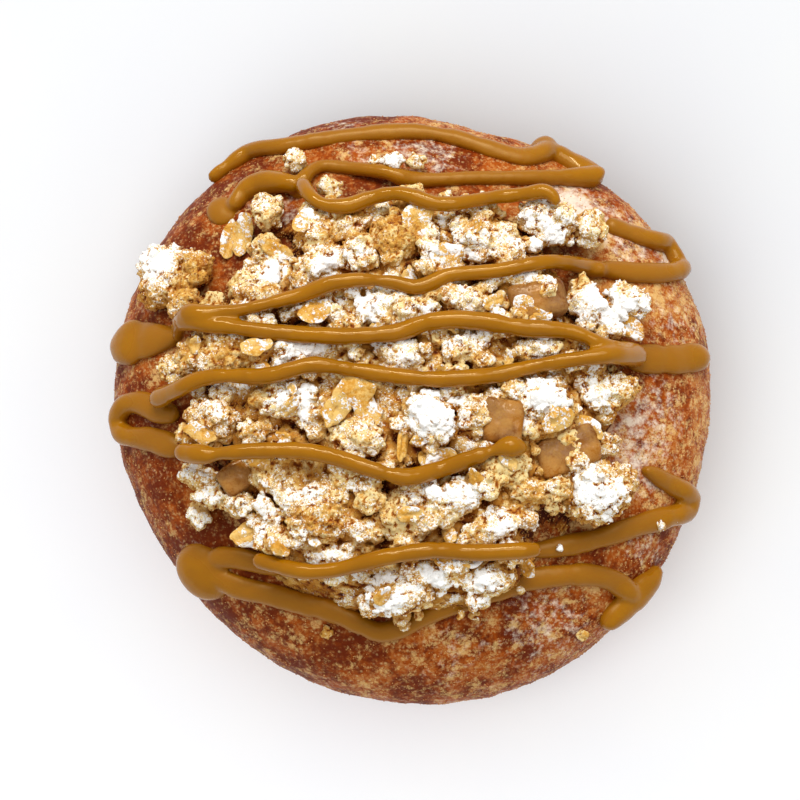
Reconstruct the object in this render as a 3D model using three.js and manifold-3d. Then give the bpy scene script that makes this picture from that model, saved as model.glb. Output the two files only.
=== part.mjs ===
// Apple crumble doughnut: a round fried yeast doughnut without a hole, under an uneven heap of
// crumble clusters, oat flakes and apple pieces, with one thick caramel drizzle over the whole.
// Millimetres, +Z up, the doughnut resting on z = 0, +Y away from the viewer.
import * as THREE from 'three';
import { mergeVertices } from 'three/addons/utils/BufferGeometryUtils.js';
import Module from 'manifold-3d';

const wasm = await Module();
wasm.setup();

// Doughnut
const RADIUS = 50; // mean radius of the widest ring
const DOUGH_HEIGHT = 38; // base to crown
const WAIST = 17; // height of the widest ring
const SINK = 1.6; // how far the round underside would reach below the table
const SQUARENESS = 2.4; // exponent of the profile; 2 is an ellipse
const DOUGH_SIDES = 42;
const DOUGH_RINGS = 7; // on each side of the widest ring
const RING_CROWDING = 0.9; // below 1 moves the rings out towards the widest one
const DOUGH_RELIEF = 0.35; // slow dimples of the fried skin
const DIMPLE_FREQUENCY = 0.11; // radians per millimetre
// Waves of the outline: [waves round the ring, height, direction of one crest in degrees]
const OUTLINE_WAVES = [[1, 1.3, 82], [2, 0.83, -44], [3, 0.77, 28], [4, 0.33, 21], [5, 0.3, 28]];

// Heap of crumble
const HEAP_CENTRE = [-1.5, -2.5];
const HEAP_RADIUS = 36.5; // which the clusters overhang
const HEAP_WAVE = 2.4; // unevenness of its outline
const HEAP_WAVE_FREQUENCY = 0.09;
const HEAP_RISE = 4.4; // lowest hollows of its skin above the dough
const RIM_STEEPNESS = 8; // the heap keeps its height until close to its rim
const DOME_STEEPNESS = 0.3; // 0.5 is a round dome
const HEAP_SIDES = 46;
const HEAP_RINGS = 13;
const HEAP_STRAY = 0.3; // of a facet, so that the skin's points stand unevenly
const CRUMBS = 70; // small crumbs between the lumps
const CRUMB_SPREAD = 0.97; // of the heap's radius
const CRUMB_SIZE = [2.4, 4]; // half lengths
const CRUMB_WIDTH = 0.8; // of its length
const CRUMB_TOP = [5.6, 7.6]; // above the dough

// Crumble clusters
const CLUSTER_ROUGH = 0.15; // craggy share of the radius
const CRAG_FREQUENCY = 3.4; // radians over one radius
const KNOBS = 2; // on each cluster
const KNOB_SIZE = 0.6; // against the cluster's own radii
const KNOB_REACH = 0.62; // of the cluster's radii, from its middle

// Caramel drizzle
const STRAND_RADIUS = 1.65; // round runs over the heap
const STRAND_REST = 0.45; // of the radius, from what it lies on up to its middle
const HEAP_STEP = 5.4; // length of one facet of a run
const DOUGH_STEP = 4.4;
const STRAND_SIDES = 5;
const STRAND_BULGE = 0.12; // slow swelling along a run
const BULGE_FREQUENCY = 0.35;
const STRAND_END = 0.62; // narrowing at a run's end
const TIP_LENGTH = 0.5; // of the half width, beyond the last ring
const SAG = 0.012; // curve of a run where it bridges two clusters, per millimetre
const SETTLING_PASSES = 60;
const RUN_THICKNESS = 1.45; // half thickness of the flatter runs on the dough
const RUN_REST = 0.35; // of that half thickness, from the dough up to the run's middle
const EDGE_LIMIT = 0.975; // no run is centred further out than this share of the outline

const GAP = 0.34; // air between neighbouring pieces
const SLOPE_ALLOWANCE = 1.6; // the gap over the heap is measured upwards, and its skin slopes

// The drizzle is one zigzag, given as runs of way-points [x, y]. These lie on the heap.
const HEAP_RUNS = [
  [[31, 38.5], [24, 37], [16, 36], [8, 35.5], [-3.5, 36], [-13, 38], [-17.5, 36.3], [-18.7, 33.5]],
  [[-18.7, 33.5], [-15, 29], [-10.5, 28], [-6, 29.5], [-2, 30.3], [3, 28.8], [9, 29.4], [16, 31.5],
    [22.5, 32]],
  [[-18.7, 33.5], [-21.5, 35.2], [-25, 35.5], [-28, 33.6], [-30.8, 30.8]],
  [[-38, 12], [-31, 10.5], [-24.5, 11.5], [-17.5, 13.8], [-11, 15.6], [-4, 15.8], [1, 15], [6, 17],
    [14, 17.8], [22, 19.4], [30.5, 20.8]],
  [[-38, 12], [-30, 9], [-21.5, 7.6], [-11, 6.8], [-3.4, 7.4], [3, 9], [10, 9.4], [17, 8.4], [24.5, 7.8],
    [29.5, 5.8], [34.5, 5.4]],
  [[-41, -0.6], [-35, 0], [-29, 1], [-22, 0.6], [-16, 2], [-10.4, 1.7], [-3.4, 0.7], [4.4, 0], [12, 0.7],
    [20, 2.5], [28, 3.9], [34.5, 5.4]],
  [[-37, -10.5], [-30.5, -11.4], [-24, -11.2], [-17.4, -11.3], [-12, -12.8], [-6.5, -14.4], [-1, -15.6],
    [4.5, -14.1], [10, -12.4], [14, -10.6], [17, -10.1]],
  [[-28, -28], [-23.5, -28.8], [-17.4, -29.8], [-11, -29.6], [-4, -27.8], [3, -26.8], [10.5, -27],
    [16.5, -26.6], [20.5, -26.2]],
];
// These lie on the dough, where they flow flatter: half is half their width.
const DOUGH_RUNS = [
  { half: 1.6, path: [[-31, 37.6], [-26, 41.4], [-18.5, 43.6], [-10, 45], [-2, 45.2], [6.5, 44.4],
    [14.5, 42.4], [21, 42.2], [23.4, 44.4], [26, 41.6], [30, 38.8]] },
  { half: 1.8, path: [[33.5, 20.9], [38, 20.6], [43, 21.6], [45.6, 24.2], [43.6, 27], [38, 27.4],
    [32.5, 28]] },
  { half: 2.6, path: [[37.5, 5.8], [42, 6.2], [49, 7.4]] },
  { half: 3, path: [[-40.5, 11.4], [-44, 9.8], [-48.4, 7]] },
  { half: 2, path: [[-38.5, -2.4], [-42.5, -1.4], [-47, -2], [-48, -4.6], [-46, -6.8], [-41.5, -8.6],
    [-38.8, -9.6]] },
  { half: 2, path: [[23, -25.8], [29, -24.8], [36.5, -21.8], [43.4, -18.9], [46.6, -15.6], [44.8, -13.8],
    [40, -12.4]] },
  { half: 2.1, path: [[-33, -29], [-29, -30.4], [-22.5, -32.3], [-16, -34], [-10, -36.2], [-5.4, -38.4],
    [-1.6, -38.2], [3, -35.6], [9, -33.8], [15.5, -31.4], [23.5, -29.4], [31, -28.9], [35.4, -30.4]] },
];
// Pools where a run ends or turns on the dough: [x, y, half length, half width, turn in degrees]
const POOLS = [
  [-34.3, -28.2, 5.2, 4.4, 20],
  [-31.2, 30.4, 2.7, 2.5, 0],
  [36, -31.6, 3.2, 3.8, 40],
  [-47.4, 8.2, 3, 2.8, 0],
];
const POOL_THICKNESS = 1.7; // half
const POOL_ROUGH = 0.05;

// Large clusters, each a piece of its own: [x, y, half length, half width, top above the dough, turn]
const CLUSTERS = {
  cluster_left: [-39.7, 19.5, 6, 5.6, 7.2, 20],
  cluster_back: [-2.7, 23.6, 5.4, 4.8, 9.6, 0],
  cluster_back_right: [22, 27.2, 5.4, 4.6, 8.8, -10],
  cluster_right: [34.4, 13.8, 4.6, 3.6, 8.4, 15],
  cluster_right_middle: [20.4, -3.4, 6.4, 4.4, 9.8, -8],
  cluster_right_front: [28.8, -17.2, 7, 6, 10.2, 12],
  cluster_middle: [2.6, -6.2, 5.2, 5.4, 10.4, 0],
  cluster_front_middle: [-1.6, -21, 5.6, 4.8, 9.2, -12],
  cluster_front: [-2, -32.6, 6.8, 4.6, 8.2, 4],
  cluster_front_left: [-14.6, -20, 6.6, 6, 9.8, 30],
  cluster_left_arch: [-29.5, -19.4, 5.6, 3.8, 8.2, 8],
  cluster_left_low: [-31.4, -5.2, 5.4, 3.8, 8.6, -12],
};
// Smaller lumps in the skin of the heap: [x, y, half length, half width, top above the dough]
const LUMPS = [
  [30, -1.2, 5, 3.8, 8], [10, -5.4, 4, 4.6, 9], [-15, 24.4, 4, 4, 8.4], [-24.7, 28.6, 4.2, 3.4, 7],
  [-25.4, 16, 5.4, 3.2, 7.6], [-8.5, 21, 3.6, 3.8, 8.4], [10.8, 23, 5.4, 4, 8.2], [-6, 11.4, 4.4, 3, 8.2],
  [8.6, 13.4, 4.4, 3, 8.4], [26.2, 11.8, 4.6, 3, 8], [-33.4, -8.2, 3.6, 2.6, 6.8], [-19.4, -3, 6, 3, 8.4],
  [-2, 4.2, 4.8, 2.8, 7.6], [19.8, 5.6, 5.4, 2.6, 7.8], [14.4, -14, 5, 4, 9.4], [-34.4, -14, 3.2, 2.6, 6.8],
  [6.4, -19.4, 4.6, 3.6, 8.6], [12.6, -22.4, 6, 3.6, 8.4], [11.6, -30, 5.6, 3.2, 7.2],
  [-21.6, -24.8, 4.4, 3.2, 8], [-16.8, 5.2, 6, 2.6, 7.6], [-20, 38.4, 2.6, 2.4, 4.8],
  [-22.6, -15, 3.6, 3.2, 7.6], [28.6, 27, 3.6, 3.6, 7.2], [-32.6, 4.8, 6, 3.4, 8.6],
  [-9, -8.6, 5.6, 4, 9], [-26.6, 20.6, 3.6, 3.4, 7.4], [-9.8, -14, 3.4, 3, 8.2],
];
// Oat flakes: [x, y, half length, half width, turn, lean in degrees]
const FLAKES = [
  [-29.6, 24.4, 3.6, 2.7, 70, 16], [-26.4, 25.4, 3.4, 2.5, 100, -14], [-21.6, 21.8, 3.6, 2.2, 20, 10],
  [-11.6, -2, 3.6, 2.8, 30, 18], [-7.6, -3.4, 3.4, 2.6, -40, -16], [5.4, 20.4, 3.4, 2.6, 15, 12],
  [-18.4, 9.8, 3.8, 2.5, 35, 14], [-30.2, 7.6, 3.2, 2.4, 10, -12],
];
const FLAKE_RISE = 9; // of a flake's middle above the dough
const FLAKE_THICKNESS = 0.75; // half
const FLAKE_SIDES = 7;
const FLAKE_BEND = 0.6;
// Apple pieces showing between the clusters: [x, y, half length, half width, top above the dough, turn]
const APPLE_PIECES = {
  apple_piece_back: [19.6, 13.6, 4.6, 3.4, 8.2, 12],
  apple_piece_middle: [13.4, -6.8, 3.2, 3.8, 8.6, -6],
  apple_piece_right: [24.4, -10.6, 5, 3.4, 8, 20],
  apple_piece_left: [-27.6, -14.6, 3.2, 2.6, 7.4, 35],
};
const APPLE_SQUARENESS = 4; // diced fruit with soft edges
const APPLE_ROUGH = 0.04;

const MATERIALS = {
  dough: { color: 0x9c5b28, roughness: 0.7, metalness: 0 },
  crumble: { color: 0xd6a250, roughness: 0.9, metalness: 0 },
  apple: { color: 0xa45a12, roughness: 0.3, metalness: 0 },
};

const UP = new THREE.Vector3(0, 0, 1);
const radians = THREE.MathUtils.degToRad;

function seededRandom(seed) {
  let state = seed;
  return () => {
    state = (state + 0x6d2b79f5) | 0;
    let mixed = Math.imul(state ^ (state >>> 15), 1 | state);
    mixed = (mixed + Math.imul(mixed ^ (mixed >>> 7), 61 | mixed)) ^ mixed;
    return ((mixed ^ (mixed >>> 14)) >>> 0) / 2 ** 32;
  };
}

// A smooth uneven field between about -1 and 1, made of a few slanting waves.
function unevenField(seed, frequency) {
  const random = seededRandom(seed);
  const waves = Array.from({ length: 5 }, () => ({
    direction: new THREE.Vector3(random() - 0.5, random() - 0.5, random() - 0.5).normalize(),
    frequency: frequency * (0.7 + 0.9 * random()),
    phase: 2 * Math.PI * random(),
  }));
  const height = 2 / waves.length;
  return (point) => waves.reduce(
    (sum, wave) => sum + height * Math.sin(wave.direction.dot(point) * wave.frequency + wave.phase),
    0,
  );
}

// Closed skin over rings of points, from a first pole through the rings to a last pole.
function skinOverRings(rings, firstPole, lastPole) {
  const sides = rings[0].length;
  const points = [...rings.flat(), firstPole, lastPole];
  const first = points.length - 2;
  const last = points.length - 1;
  const lastRing = (rings.length - 1) * sides;
  const faces = [];
  for (let side = 0; side < sides; side += 1) {
    const next = (side + 1) % sides;
    faces.push(first, next, side);
    for (let here = 0; here < lastRing; here += sides) {
      const above = here + sides;
      faces.push(here + side, here + next, above + next);
      faces.push(here + side, above + next, above + side);
    }
    faces.push(lastRing + side, lastRing + next, last);
  }
  const geometry = new THREE.BufferGeometry().setFromPoints(points);
  geometry.setIndex(faces);
  return geometry;
}

function toSolid(geometry) {
  return new wasm.Manifold(new wasm.Mesh({
    numProp: 3,
    vertProperties: new Float32Array(geometry.attributes.position.array),
    triVerts: new Uint32Array(geometry.index.array),
  }));
}

function toGeometry(solid) {
  const mesh = solid.getMesh();
  const geometry = new THREE.BufferGeometry();
  geometry.setAttribute('position', new THREE.BufferAttribute(new Float32Array(mesh.vertProperties), 3));
  geometry.setIndex(new THREE.BufferAttribute(new Uint32Array(mesh.triVerts), 1));
  geometry.computeVertexNormals();
  return geometry;
}

function join(solids) {
  return solids.reduce((whole, solid) => whole.add(solid));
}

// The largest body alone: loose scraps are dropped and sealed hollows are filled.
function largestBody(solid) {
  return solid.decompose().reduce((best, body) => (body.volume() > best.volume() ? body : best));
}

// Dough

const doughField = unevenField(11, DIMPLE_FREQUENCY);

function outline(angle) {
  return OUTLINE_WAVES.reduce(
    (radius, [count, height, crest]) => radius + height * Math.cos(count * (angle - radians(crest))),
    RADIUS,
  );
}

// Share of the profile's full height at a share of its radius.
function profile(share) {
  return (1 - share ** SQUARENESS) ** (1 / SQUARENESS);
}

// Height of the dough's upper skin over a point of the table.
function doughTop(x, y) {
  const rise = profile(Math.min(Math.hypot(x, y) / outline(Math.atan2(y, x)), 1));
  const dimple = DOUGH_RELIEF * doughField(new THREE.Vector3(x, y, 0));
  return WAIST + (DOUGH_HEIGHT - WAIST + dimple) * rise;
}

function doughNormal(x, y) {
  const reach = 0.4;
  const slopeX = (doughTop(x + reach, y) - doughTop(x - reach, y)) / (2 * reach);
  const slopeY = (doughTop(x, y + reach) - doughTop(x, y - reach)) / (2 * reach);
  return new THREE.Vector3(-slopeX, -slopeY, 1).normalize();
}

function doughSkin(grow) {
  const rings = [];
  for (let ring = 1 - DOUGH_RINGS; ring < DOUGH_RINGS; ring += 1) {
    const share = Math.sin((Math.PI / 2) * (1 - Math.abs(ring) / DOUGH_RINGS)) ** RING_CROWDING;
    const underside = Math.max(WAIST - (WAIST + SINK) * profile(share), 0);
    rings.push(Array.from({ length: DOUGH_SIDES }, (_, side) => {
      const angle = (2 * Math.PI * side) / DOUGH_SIDES;
      const radius = share * outline(angle);
      const x = radius * Math.cos(angle);
      const y = radius * Math.sin(angle);
      if (ring > 0) {
        return new THREE.Vector3(x, y, doughTop(x, y)).addScaledVector(doughNormal(x, y), grow);
      }
      const outward = new THREE.Vector3(Math.cos(angle), Math.sin(angle), 0);
      return new THREE.Vector3(x, y, underside).addScaledVector(outward, grow);
    }));
  }
  return skinOverRings(rings, new THREE.Vector3(), new THREE.Vector3(0, 0, doughTop(0, 0) + grow));
}

// Heap

const rimField = unevenField(5, HEAP_WAVE_FREQUENCY);

function seededCrumbs() {
  const random = seededRandom(31);
  const between = ([low, high]) => low + (high - low) * random();
  return Array.from({ length: CRUMBS }, () => {
    const angle = 2 * Math.PI * random();
    const radius = CRUMB_SPREAD * HEAP_RADIUS * Math.sqrt(random());
    const size = between(CRUMB_SIZE);
    const x = HEAP_CENTRE[0] + radius * Math.cos(angle);
    const y = HEAP_CENTRE[1] + radius * Math.sin(angle);
    return [x, y, size, CRUMB_WIDTH * size, between(CRUMB_TOP)];
  });
}

const domes = [...LUMPS, ...seededCrumbs()];

// Height of the heap above the dough: each lump is a steep dome, and the highest one shows.
function heapRise(x, y, share) {
  const hollow = HEAP_RISE * Math.sqrt(1 - share ** RIM_STEEPNESS);
  return domes.reduce((rise, [domeX, domeY, halfLength, halfWidth, top]) => {
    const off = ((x - domeX) / halfLength) ** 2 + ((y - domeY) / halfWidth) ** 2;
    return off < 1 ? Math.max(rise, top * (1 - off) ** DOME_STEEPNESS) : rise;
  }, hollow);
}

function heapSkin(grow) {
  const [centreX, centreY] = HEAP_CENTRE;
  const lift = SLOPE_ALLOWANCE * grow;
  const random = seededRandom(8);
  const rings = [];
  for (let ring = 0; ring < HEAP_RINGS; ring += 1) {
    const share = 1 - ring / HEAP_RINGS;
    const halfTurn = 0.5 * (ring % 2); // every other ring stands half a facet further round
    rings.push(Array.from({ length: HEAP_SIDES }, (_, side) => {
      const angle = (2 * Math.PI * (side + halfTurn + HEAP_STRAY * random())) / HEAP_SIDES;
      const rim = new THREE.Vector3(Math.cos(angle), Math.sin(angle), 0).multiplyScalar(HEAP_RADIUS);
      const radius = share * (HEAP_RADIUS + HEAP_WAVE * rimField(rim));
      const x = centreX + radius * Math.cos(angle);
      const y = centreY + radius * Math.sin(angle);
      const outward = rim.setLength(ring === 0 ? grow : 0);
      return new THREE.Vector3(x, y, doughTop(x, y) + heapRise(x, y, share) + lift).add(outward);
    }));
  }
  const under = rings[0].map((point) => point.clone().setZ(WAIST));
  const crown = doughTop(centreX, centreY) + heapRise(centreX, centreY, 0) + lift;
  return skinOverRings(
    [under, ...rings],
    new THREE.Vector3(centreX, centreY, WAIST),
    new THREE.Vector3(centreX, centreY, crown),
  );
}

function flake([x, y, halfLength, halfWidth, turn, lean], grow) {
  const place = new THREE.Matrix4().makeRotationZ(radians(turn));
  place.multiply(new THREE.Matrix4().makeRotationX(radians(lean)));
  place.setPosition(x, y, doughTop(x, y) + FLAKE_RISE);
  const faces = [-FLAKE_THICKNESS - grow, FLAKE_THICKNESS + grow];
  const rings = faces.map((face) => Array.from({ length: FLAKE_SIDES }, (_, side) => {
    const angle = (2 * Math.PI * side) / FLAKE_SIDES;
    return new THREE.Vector3(
      (halfLength + grow) * Math.cos(angle),
      (halfWidth + grow) * Math.sin(angle),
      face + FLAKE_BEND * Math.cos(2 * angle),
    ).applyMatrix4(place);
  }));
  const poles = faces.map((face) => new THREE.Vector3(0, 0, face).applyMatrix4(place));
  return skinOverRings(rings, ...poles);
}

// An uneven ellipsoid, or with a higher power a soft-edged block.
function lump({ at, radii, turn = 0, detail = 1, rough = CLUSTER_ROUGH, power = 2, seed }, grow) {
  const ball = new THREE.IcosahedronGeometry(1, detail);
  ball.deleteAttribute('normal');
  ball.deleteAttribute('uv');
  const geometry = mergeVertices(ball);
  const field = unevenField(seed, CRAG_FREQUENCY);
  const place = new THREE.Matrix4().makeRotationZ(radians(turn)).setPosition(at);
  const position = geometry.attributes.position;
  const point = new THREE.Vector3();
  for (let index = 0; index < position.count; index += 1) {
    point.fromBufferAttribute(position, index).normalize();
    const reach = Math.abs(point.x) ** power + Math.abs(point.y) ** power + Math.abs(point.z) ** power;
    const swell = reach ** (-1 / power) * (1 + rough * field(point));
    point.set(
      point.x * (radii[0] * swell + grow),
      point.y * (radii[1] * swell + grow),
      point.z * (radii[2] * swell + grow),
    ).applyMatrix4(place);
    position.setXYZ(index, point.x, point.y, point.z);
  }
  return geometry;
}

// Clusters: one uneven lump each, with a few smaller knobs baked onto it

function clusterParts([x, y, halfLength, halfWidth, top, turn], seed) {
  const random = seededRandom(seed);
  const halfHeight = top / 2;
  const middle = doughTop(x, y) + halfHeight;
  const knobs = Array.from({ length: KNOBS }, (_, index) => {
    const angle = radians(turn) + (2 * Math.PI * (index + 0.6 * random())) / KNOBS;
    const size = KNOB_SIZE * (0.8 + 0.4 * random());
    return {
      at: new THREE.Vector3(
        x + KNOB_REACH * halfLength * Math.cos(angle),
        y + KNOB_REACH * halfWidth * Math.sin(angle),
        middle + halfHeight * (0.15 + 0.4 * random()),
      ),
      radii: [size * halfLength, size * halfWidth, size * halfHeight],
      turn: 360 * random(),
      detail: 0,
      seed: seed + index + 1,
    };
  });
  const at = new THREE.Vector3(x, y, middle);
  const body = { at, radii: [halfLength, halfWidth, halfHeight], turn, detail: 2, seed };
  return [body, ...knobs];
}

const clusters = Object.entries(CLUSTERS).map(([name, row], index) => (
  { name, parts: clusterParts(row, 200 + 10 * index) }
));

function applePart([x, y, halfLength, halfWidth, top, turn], seed) {
  return {
    at: new THREE.Vector3(x, y, doughTop(x, y) + top / 2),
    radii: [halfLength, halfWidth, top / 2],
    turn,
    rough: APPLE_ROUGH,
    power: APPLE_SQUARENESS,
    seed,
  };
}

// Drizzle

// Everything that a run can lie on, looked at from above.
const ground = clusters.flatMap(({ parts }) => parts).map((part) => new THREE.Mesh(lump(part, 0)));
ground.push(new THREE.Mesh(heapSkin(0)));
const lookDown = new THREE.Raycaster();

function groundTop(x, y) {
  lookDown.set(new THREE.Vector3(x, y, 2 * DOUGH_HEIGHT), UP.clone().negate());
  const heights = lookDown.intersectObjects(ground).map((hit) => hit.point.z);
  return Math.max(doughTop(x, y), ...heights);
}

function insideOutline([x, y]) {
  const shrink = Math.min(1, (EDGE_LIMIT * outline(Math.atan2(y, x))) / Math.hypot(x, y));
  return new THREE.Vector3(x * shrink, y * shrink, 0);
}

function pathPoints(wayPoints, step) {
  const curve = new THREE.CatmullRomCurve3(wayPoints.map(insideOutline), false, 'centripetal');
  return curve.getSpacedPoints(Math.round(curve.getLength() / step) + 1);
}

// A run over the heap rests on the high spots and bridges the hollows between them.
function heapPath(wayPoints) {
  const points = pathPoints(wayPoints, HEAP_STEP);
  const heights = points.map(({ x, y }) => groundTop(x, y));
  for (let pass = 0; pass < SETTLING_PASSES; pass += 1) {
    for (let index = 1; index + 1 < heights.length; index += 1) {
      const bridge = (heights[index - 1] + heights[index + 1]) / 2 - SAG * HEAP_STEP ** 2;
      heights[index] = Math.max(heights[index], bridge);
    }
  }
  return points.map((point, index) => point.setZ(heights[index] + STRAND_REST * STRAND_RADIUS));
}

function doughPath(wayPoints) {
  const points = pathPoints(wayPoints, DOUGH_STEP);
  const normals = points.map(({ x, y }) => doughNormal(x, y));
  points.forEach((point, index) => {
    point.setZ(doughTop(point.x, point.y)).addScaledVector(normals[index], RUN_REST * RUN_THICKNESS);
  });
  return { points, normals };
}

// A closed run of caramel along points, flat against a surface with the given normals.
function strand(points, normals, halfWidth, halfThickness, seed, grow) {
  const field = unevenField(seed, BULGE_FREQUENCY);
  const end = points.length - 1;
  const rings = points.map((point, index) => {
    const along = points[Math.min(index + 1, end)].clone().sub(points[Math.max(index - 1, 0)]).normalize();
    const across = normals[index].clone().cross(along).normalize();
    const up = along.clone().cross(across);
    const size = index === 0 || index === end ? STRAND_END : 1 + STRAND_BULGE * field(point);
    return Array.from({ length: STRAND_SIDES }, (_, side) => {
      const angle = (2 * Math.PI * side) / STRAND_SIDES;
      return point.clone()
        .addScaledVector(across, (size * halfWidth + grow) * Math.cos(angle))
        .addScaledVector(up, (size * halfThickness + grow) * Math.sin(angle));
    });
  });
  const tips = [[0, 1], [end, end - 1]].map(([outer, inner]) => {
    const outward = points[outer].clone().sub(points[inner]).normalize();
    return points[outer].clone().addScaledVector(outward, TIP_LENGTH * halfWidth + grow);
  });
  return skinOverRings(rings, ...tips);
}

const heapPaths = HEAP_RUNS.map(heapPath);
const doughPaths = DOUGH_RUNS.map(({ half, path }) => ({ half, ...doughPath(path) }));

function heapRun(points, index, grow) {
  const normals = points.map(() => UP);
  return strand(points, normals, STRAND_RADIUS, STRAND_RADIUS, 70 + index, grow);
}

function doughRun({ half, points, normals }, index, grow) {
  return strand(points, normals, half, RUN_THICKNESS, 90 + index, grow);
}

function pool([x, y, halfLength, halfWidth, turn], index, grow) {
  const radii = [halfLength, halfWidth, POOL_THICKNESS];
  const geometry = lump({ at: new THREE.Vector3(), radii, turn, rough: POOL_ROUGH, seed: 120 + index }, grow);
  geometry.applyQuaternion(new THREE.Quaternion().setFromUnitVectors(UP, doughNormal(x, y)));
  return geometry.translate(x, y, doughTop(x, y));
}

// Each piece is made at its true size, or grown by the air gap to cut its neighbours back.

function doughnut(grow) {
  return join([
    doughSkin(grow),
    ...doughPaths.map((run, index) => doughRun(run, index, grow)),
    ...POOLS.map((row, index) => pool(row, index, grow)),
  ].map(toSolid));
}

function crumbleHeap(grow) {
  return join([
    heapSkin(grow),
    ...FLAKES.map((row) => flake(row, grow)),
    ...heapPaths.map((points, index) => heapRun(points, index, grow)),
  ].map(toSolid));
}

const pieces = [
  { name: 'doughnut', slot: 'dough', make: doughnut },
  { name: 'crumble_heap', slot: 'crumble', make: crumbleHeap },
  ...clusters.map(({ name, parts }) => (
    { name, slot: 'crumble', make: (grow) => join(parts.map((part) => toSolid(lump(part, grow)))) }
  )),
  ...Object.entries(APPLE_PIECES).map(([name, row], index) => (
    { name, slot: 'apple', make: (grow) => toSolid(lump(applePart(row, 160 + index), grow)) }
  )),
];

// A piece gives way to every piece before it in the list.
const group = new THREE.Group();
group.name = 'apple_crumble_doughnut';
const taken = [];
for (const { name, slot, make } of pieces) {
  const solid = taken.reduce((rest, neighbour) => rest.subtract(neighbour), make(0));
  taken.push(make(GAP));
  const material = new THREE.MeshStandardMaterial(MATERIALS[slot]);
  const mesh = new THREE.Mesh(toGeometry(largestBody(solid)), material);
  mesh.name = name;
  group.add(mesh);
}

// The origin is the middle of the whole object's outline, on the table.
const middle = new THREE.Box3().setFromObject(group).getCenter(new THREE.Vector3());
for (const mesh of group.children) {
  mesh.geometry.translate(-middle.x, -middle.y, 0);
}

export default group;
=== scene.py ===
# %% [markdown]
# # An apple crumble doughnut
# A round fried doughnut without a hole lies on a pale table. It is rolled in cinnamon sugar and heaped with
# baked crumble, oat flakes and a few glazed apple pieces. Caramel is drizzled over it all in one zigzag, and
# icing sugar is dusted on top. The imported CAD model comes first. It says how large everything is, and each
# piece made below takes the place of one of its solids.

import itertools
import math

import bmesh
import bpy
import numpy as np
from mathutils import Matrix, Vector


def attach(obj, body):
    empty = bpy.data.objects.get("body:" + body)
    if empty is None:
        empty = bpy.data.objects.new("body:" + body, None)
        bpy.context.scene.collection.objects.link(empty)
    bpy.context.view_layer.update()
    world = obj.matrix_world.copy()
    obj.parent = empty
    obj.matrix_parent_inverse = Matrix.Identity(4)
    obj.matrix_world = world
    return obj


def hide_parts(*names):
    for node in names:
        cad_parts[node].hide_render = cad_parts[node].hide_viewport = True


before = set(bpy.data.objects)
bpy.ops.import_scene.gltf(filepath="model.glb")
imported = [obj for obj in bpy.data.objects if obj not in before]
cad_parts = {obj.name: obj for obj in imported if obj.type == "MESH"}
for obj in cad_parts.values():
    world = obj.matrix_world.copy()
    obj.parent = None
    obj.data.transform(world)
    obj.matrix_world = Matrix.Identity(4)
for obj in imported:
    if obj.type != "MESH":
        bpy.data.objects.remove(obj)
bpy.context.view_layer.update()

# %% [markdown]
# ## The camera
# The photograph looks almost straight down. A long lens far away keeps the sides of the doughnut from leaning
# out. The camera stands on a short arm that is turned up by the elevation, and it looks back along that arm.
# Lengths in this lesson are in millimetres, because crumbs are easier to picture that way, and each mesh is
# shrunk to metres at its end.

# %% Set up the camera
MM = 0.001
ELEVATION = math.radians(80)
DISTANCE = 374
AIM = Vector((-2.04, 0.53, 19.2))

camera_data = bpy.data.cameras.new("overhead_camera")
camera_data.lens = 100
camera_data.sensor_width = 36
camera_data.clip_start = 0.01
camera = bpy.data.objects.new("overhead_camera", camera_data)
bpy.context.scene.collection.objects.link(camera)
bpy.context.scene.camera = camera
arm = Vector((0, -math.cos(ELEVATION), math.sin(ELEVATION)))
camera.location = (AIM + DISTANCE * arm) * MM
camera.rotation_mode = "QUATERNION"
camera.rotation_quaternion = (-arm).to_track_quat("-Z", "Y")
print("camera stands", round(camera.location.z, 3), "m above the table")

# %% [markdown]
# ## Light and table
# The light in the photograph is soft and comes mostly from behind the doughnut, which draws a thin bright
# line along the upper side of each caramel strand. A long narrow softbox gives that line. A wide, weak one
# and a pale world fill the shadows. The table is a large pale sheet, which isn't part of the doughnut. Its
# soft shadow falls the other way in the photograph, so light linking gives the table a lamp of its own.

# %% Place the softboxes, the world and the table
TABLE_REACH = 3  # metres from the middle to the edges
WORLD_STRENGTH = 0.7

scene = bpy.context.scene
scene.view_settings.view_transform = "Standard"


def softbox(name, azimuth, elevation, distance, size, power):
    """An area light that stands off the doughnut and faces it; size is its width and height in metres."""
    light = bpy.data.lights.new(name, "AREA")
    light.shape = "RECTANGLE"
    light.size, light.size_y = size
    light.energy = power
    stand = bpy.data.objects.new(name, light)
    scene.collection.objects.link(stand)
    turn, lift = math.radians(azimuth), math.radians(elevation)
    away = Vector((math.sin(turn) * math.cos(lift), math.cos(turn) * math.cos(lift), math.sin(lift)))
    stand.location = distance * away
    stand.rotation_mode = "QUATERNION"
    stand.rotation_quaternion = away.to_track_quat("Z", "Y")
    return stand


# Azimuth, elevation, distance, size and power, in degrees, metres and watts
strip = softbox("strip_softbox", -8, 52, 0.7, (0.5, 0.06), 2.5)
wide = softbox("wide_softbox", 20, 66, 0.8, (0.5, 0.4), 2.5)
table_lamp = softbox("table_softbox", 214, 58, 0.8, (0.7, 0.7), 3.4)

world = bpy.data.worlds.new("pale_studio")
world.use_nodes = True
world.node_tree.nodes["Background"].inputs["Color"].default_value = (1, 1, 1, 1)
world.node_tree.nodes["Background"].inputs["Strength"].default_value = WORLD_STRENGTH
scene.world = world

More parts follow.
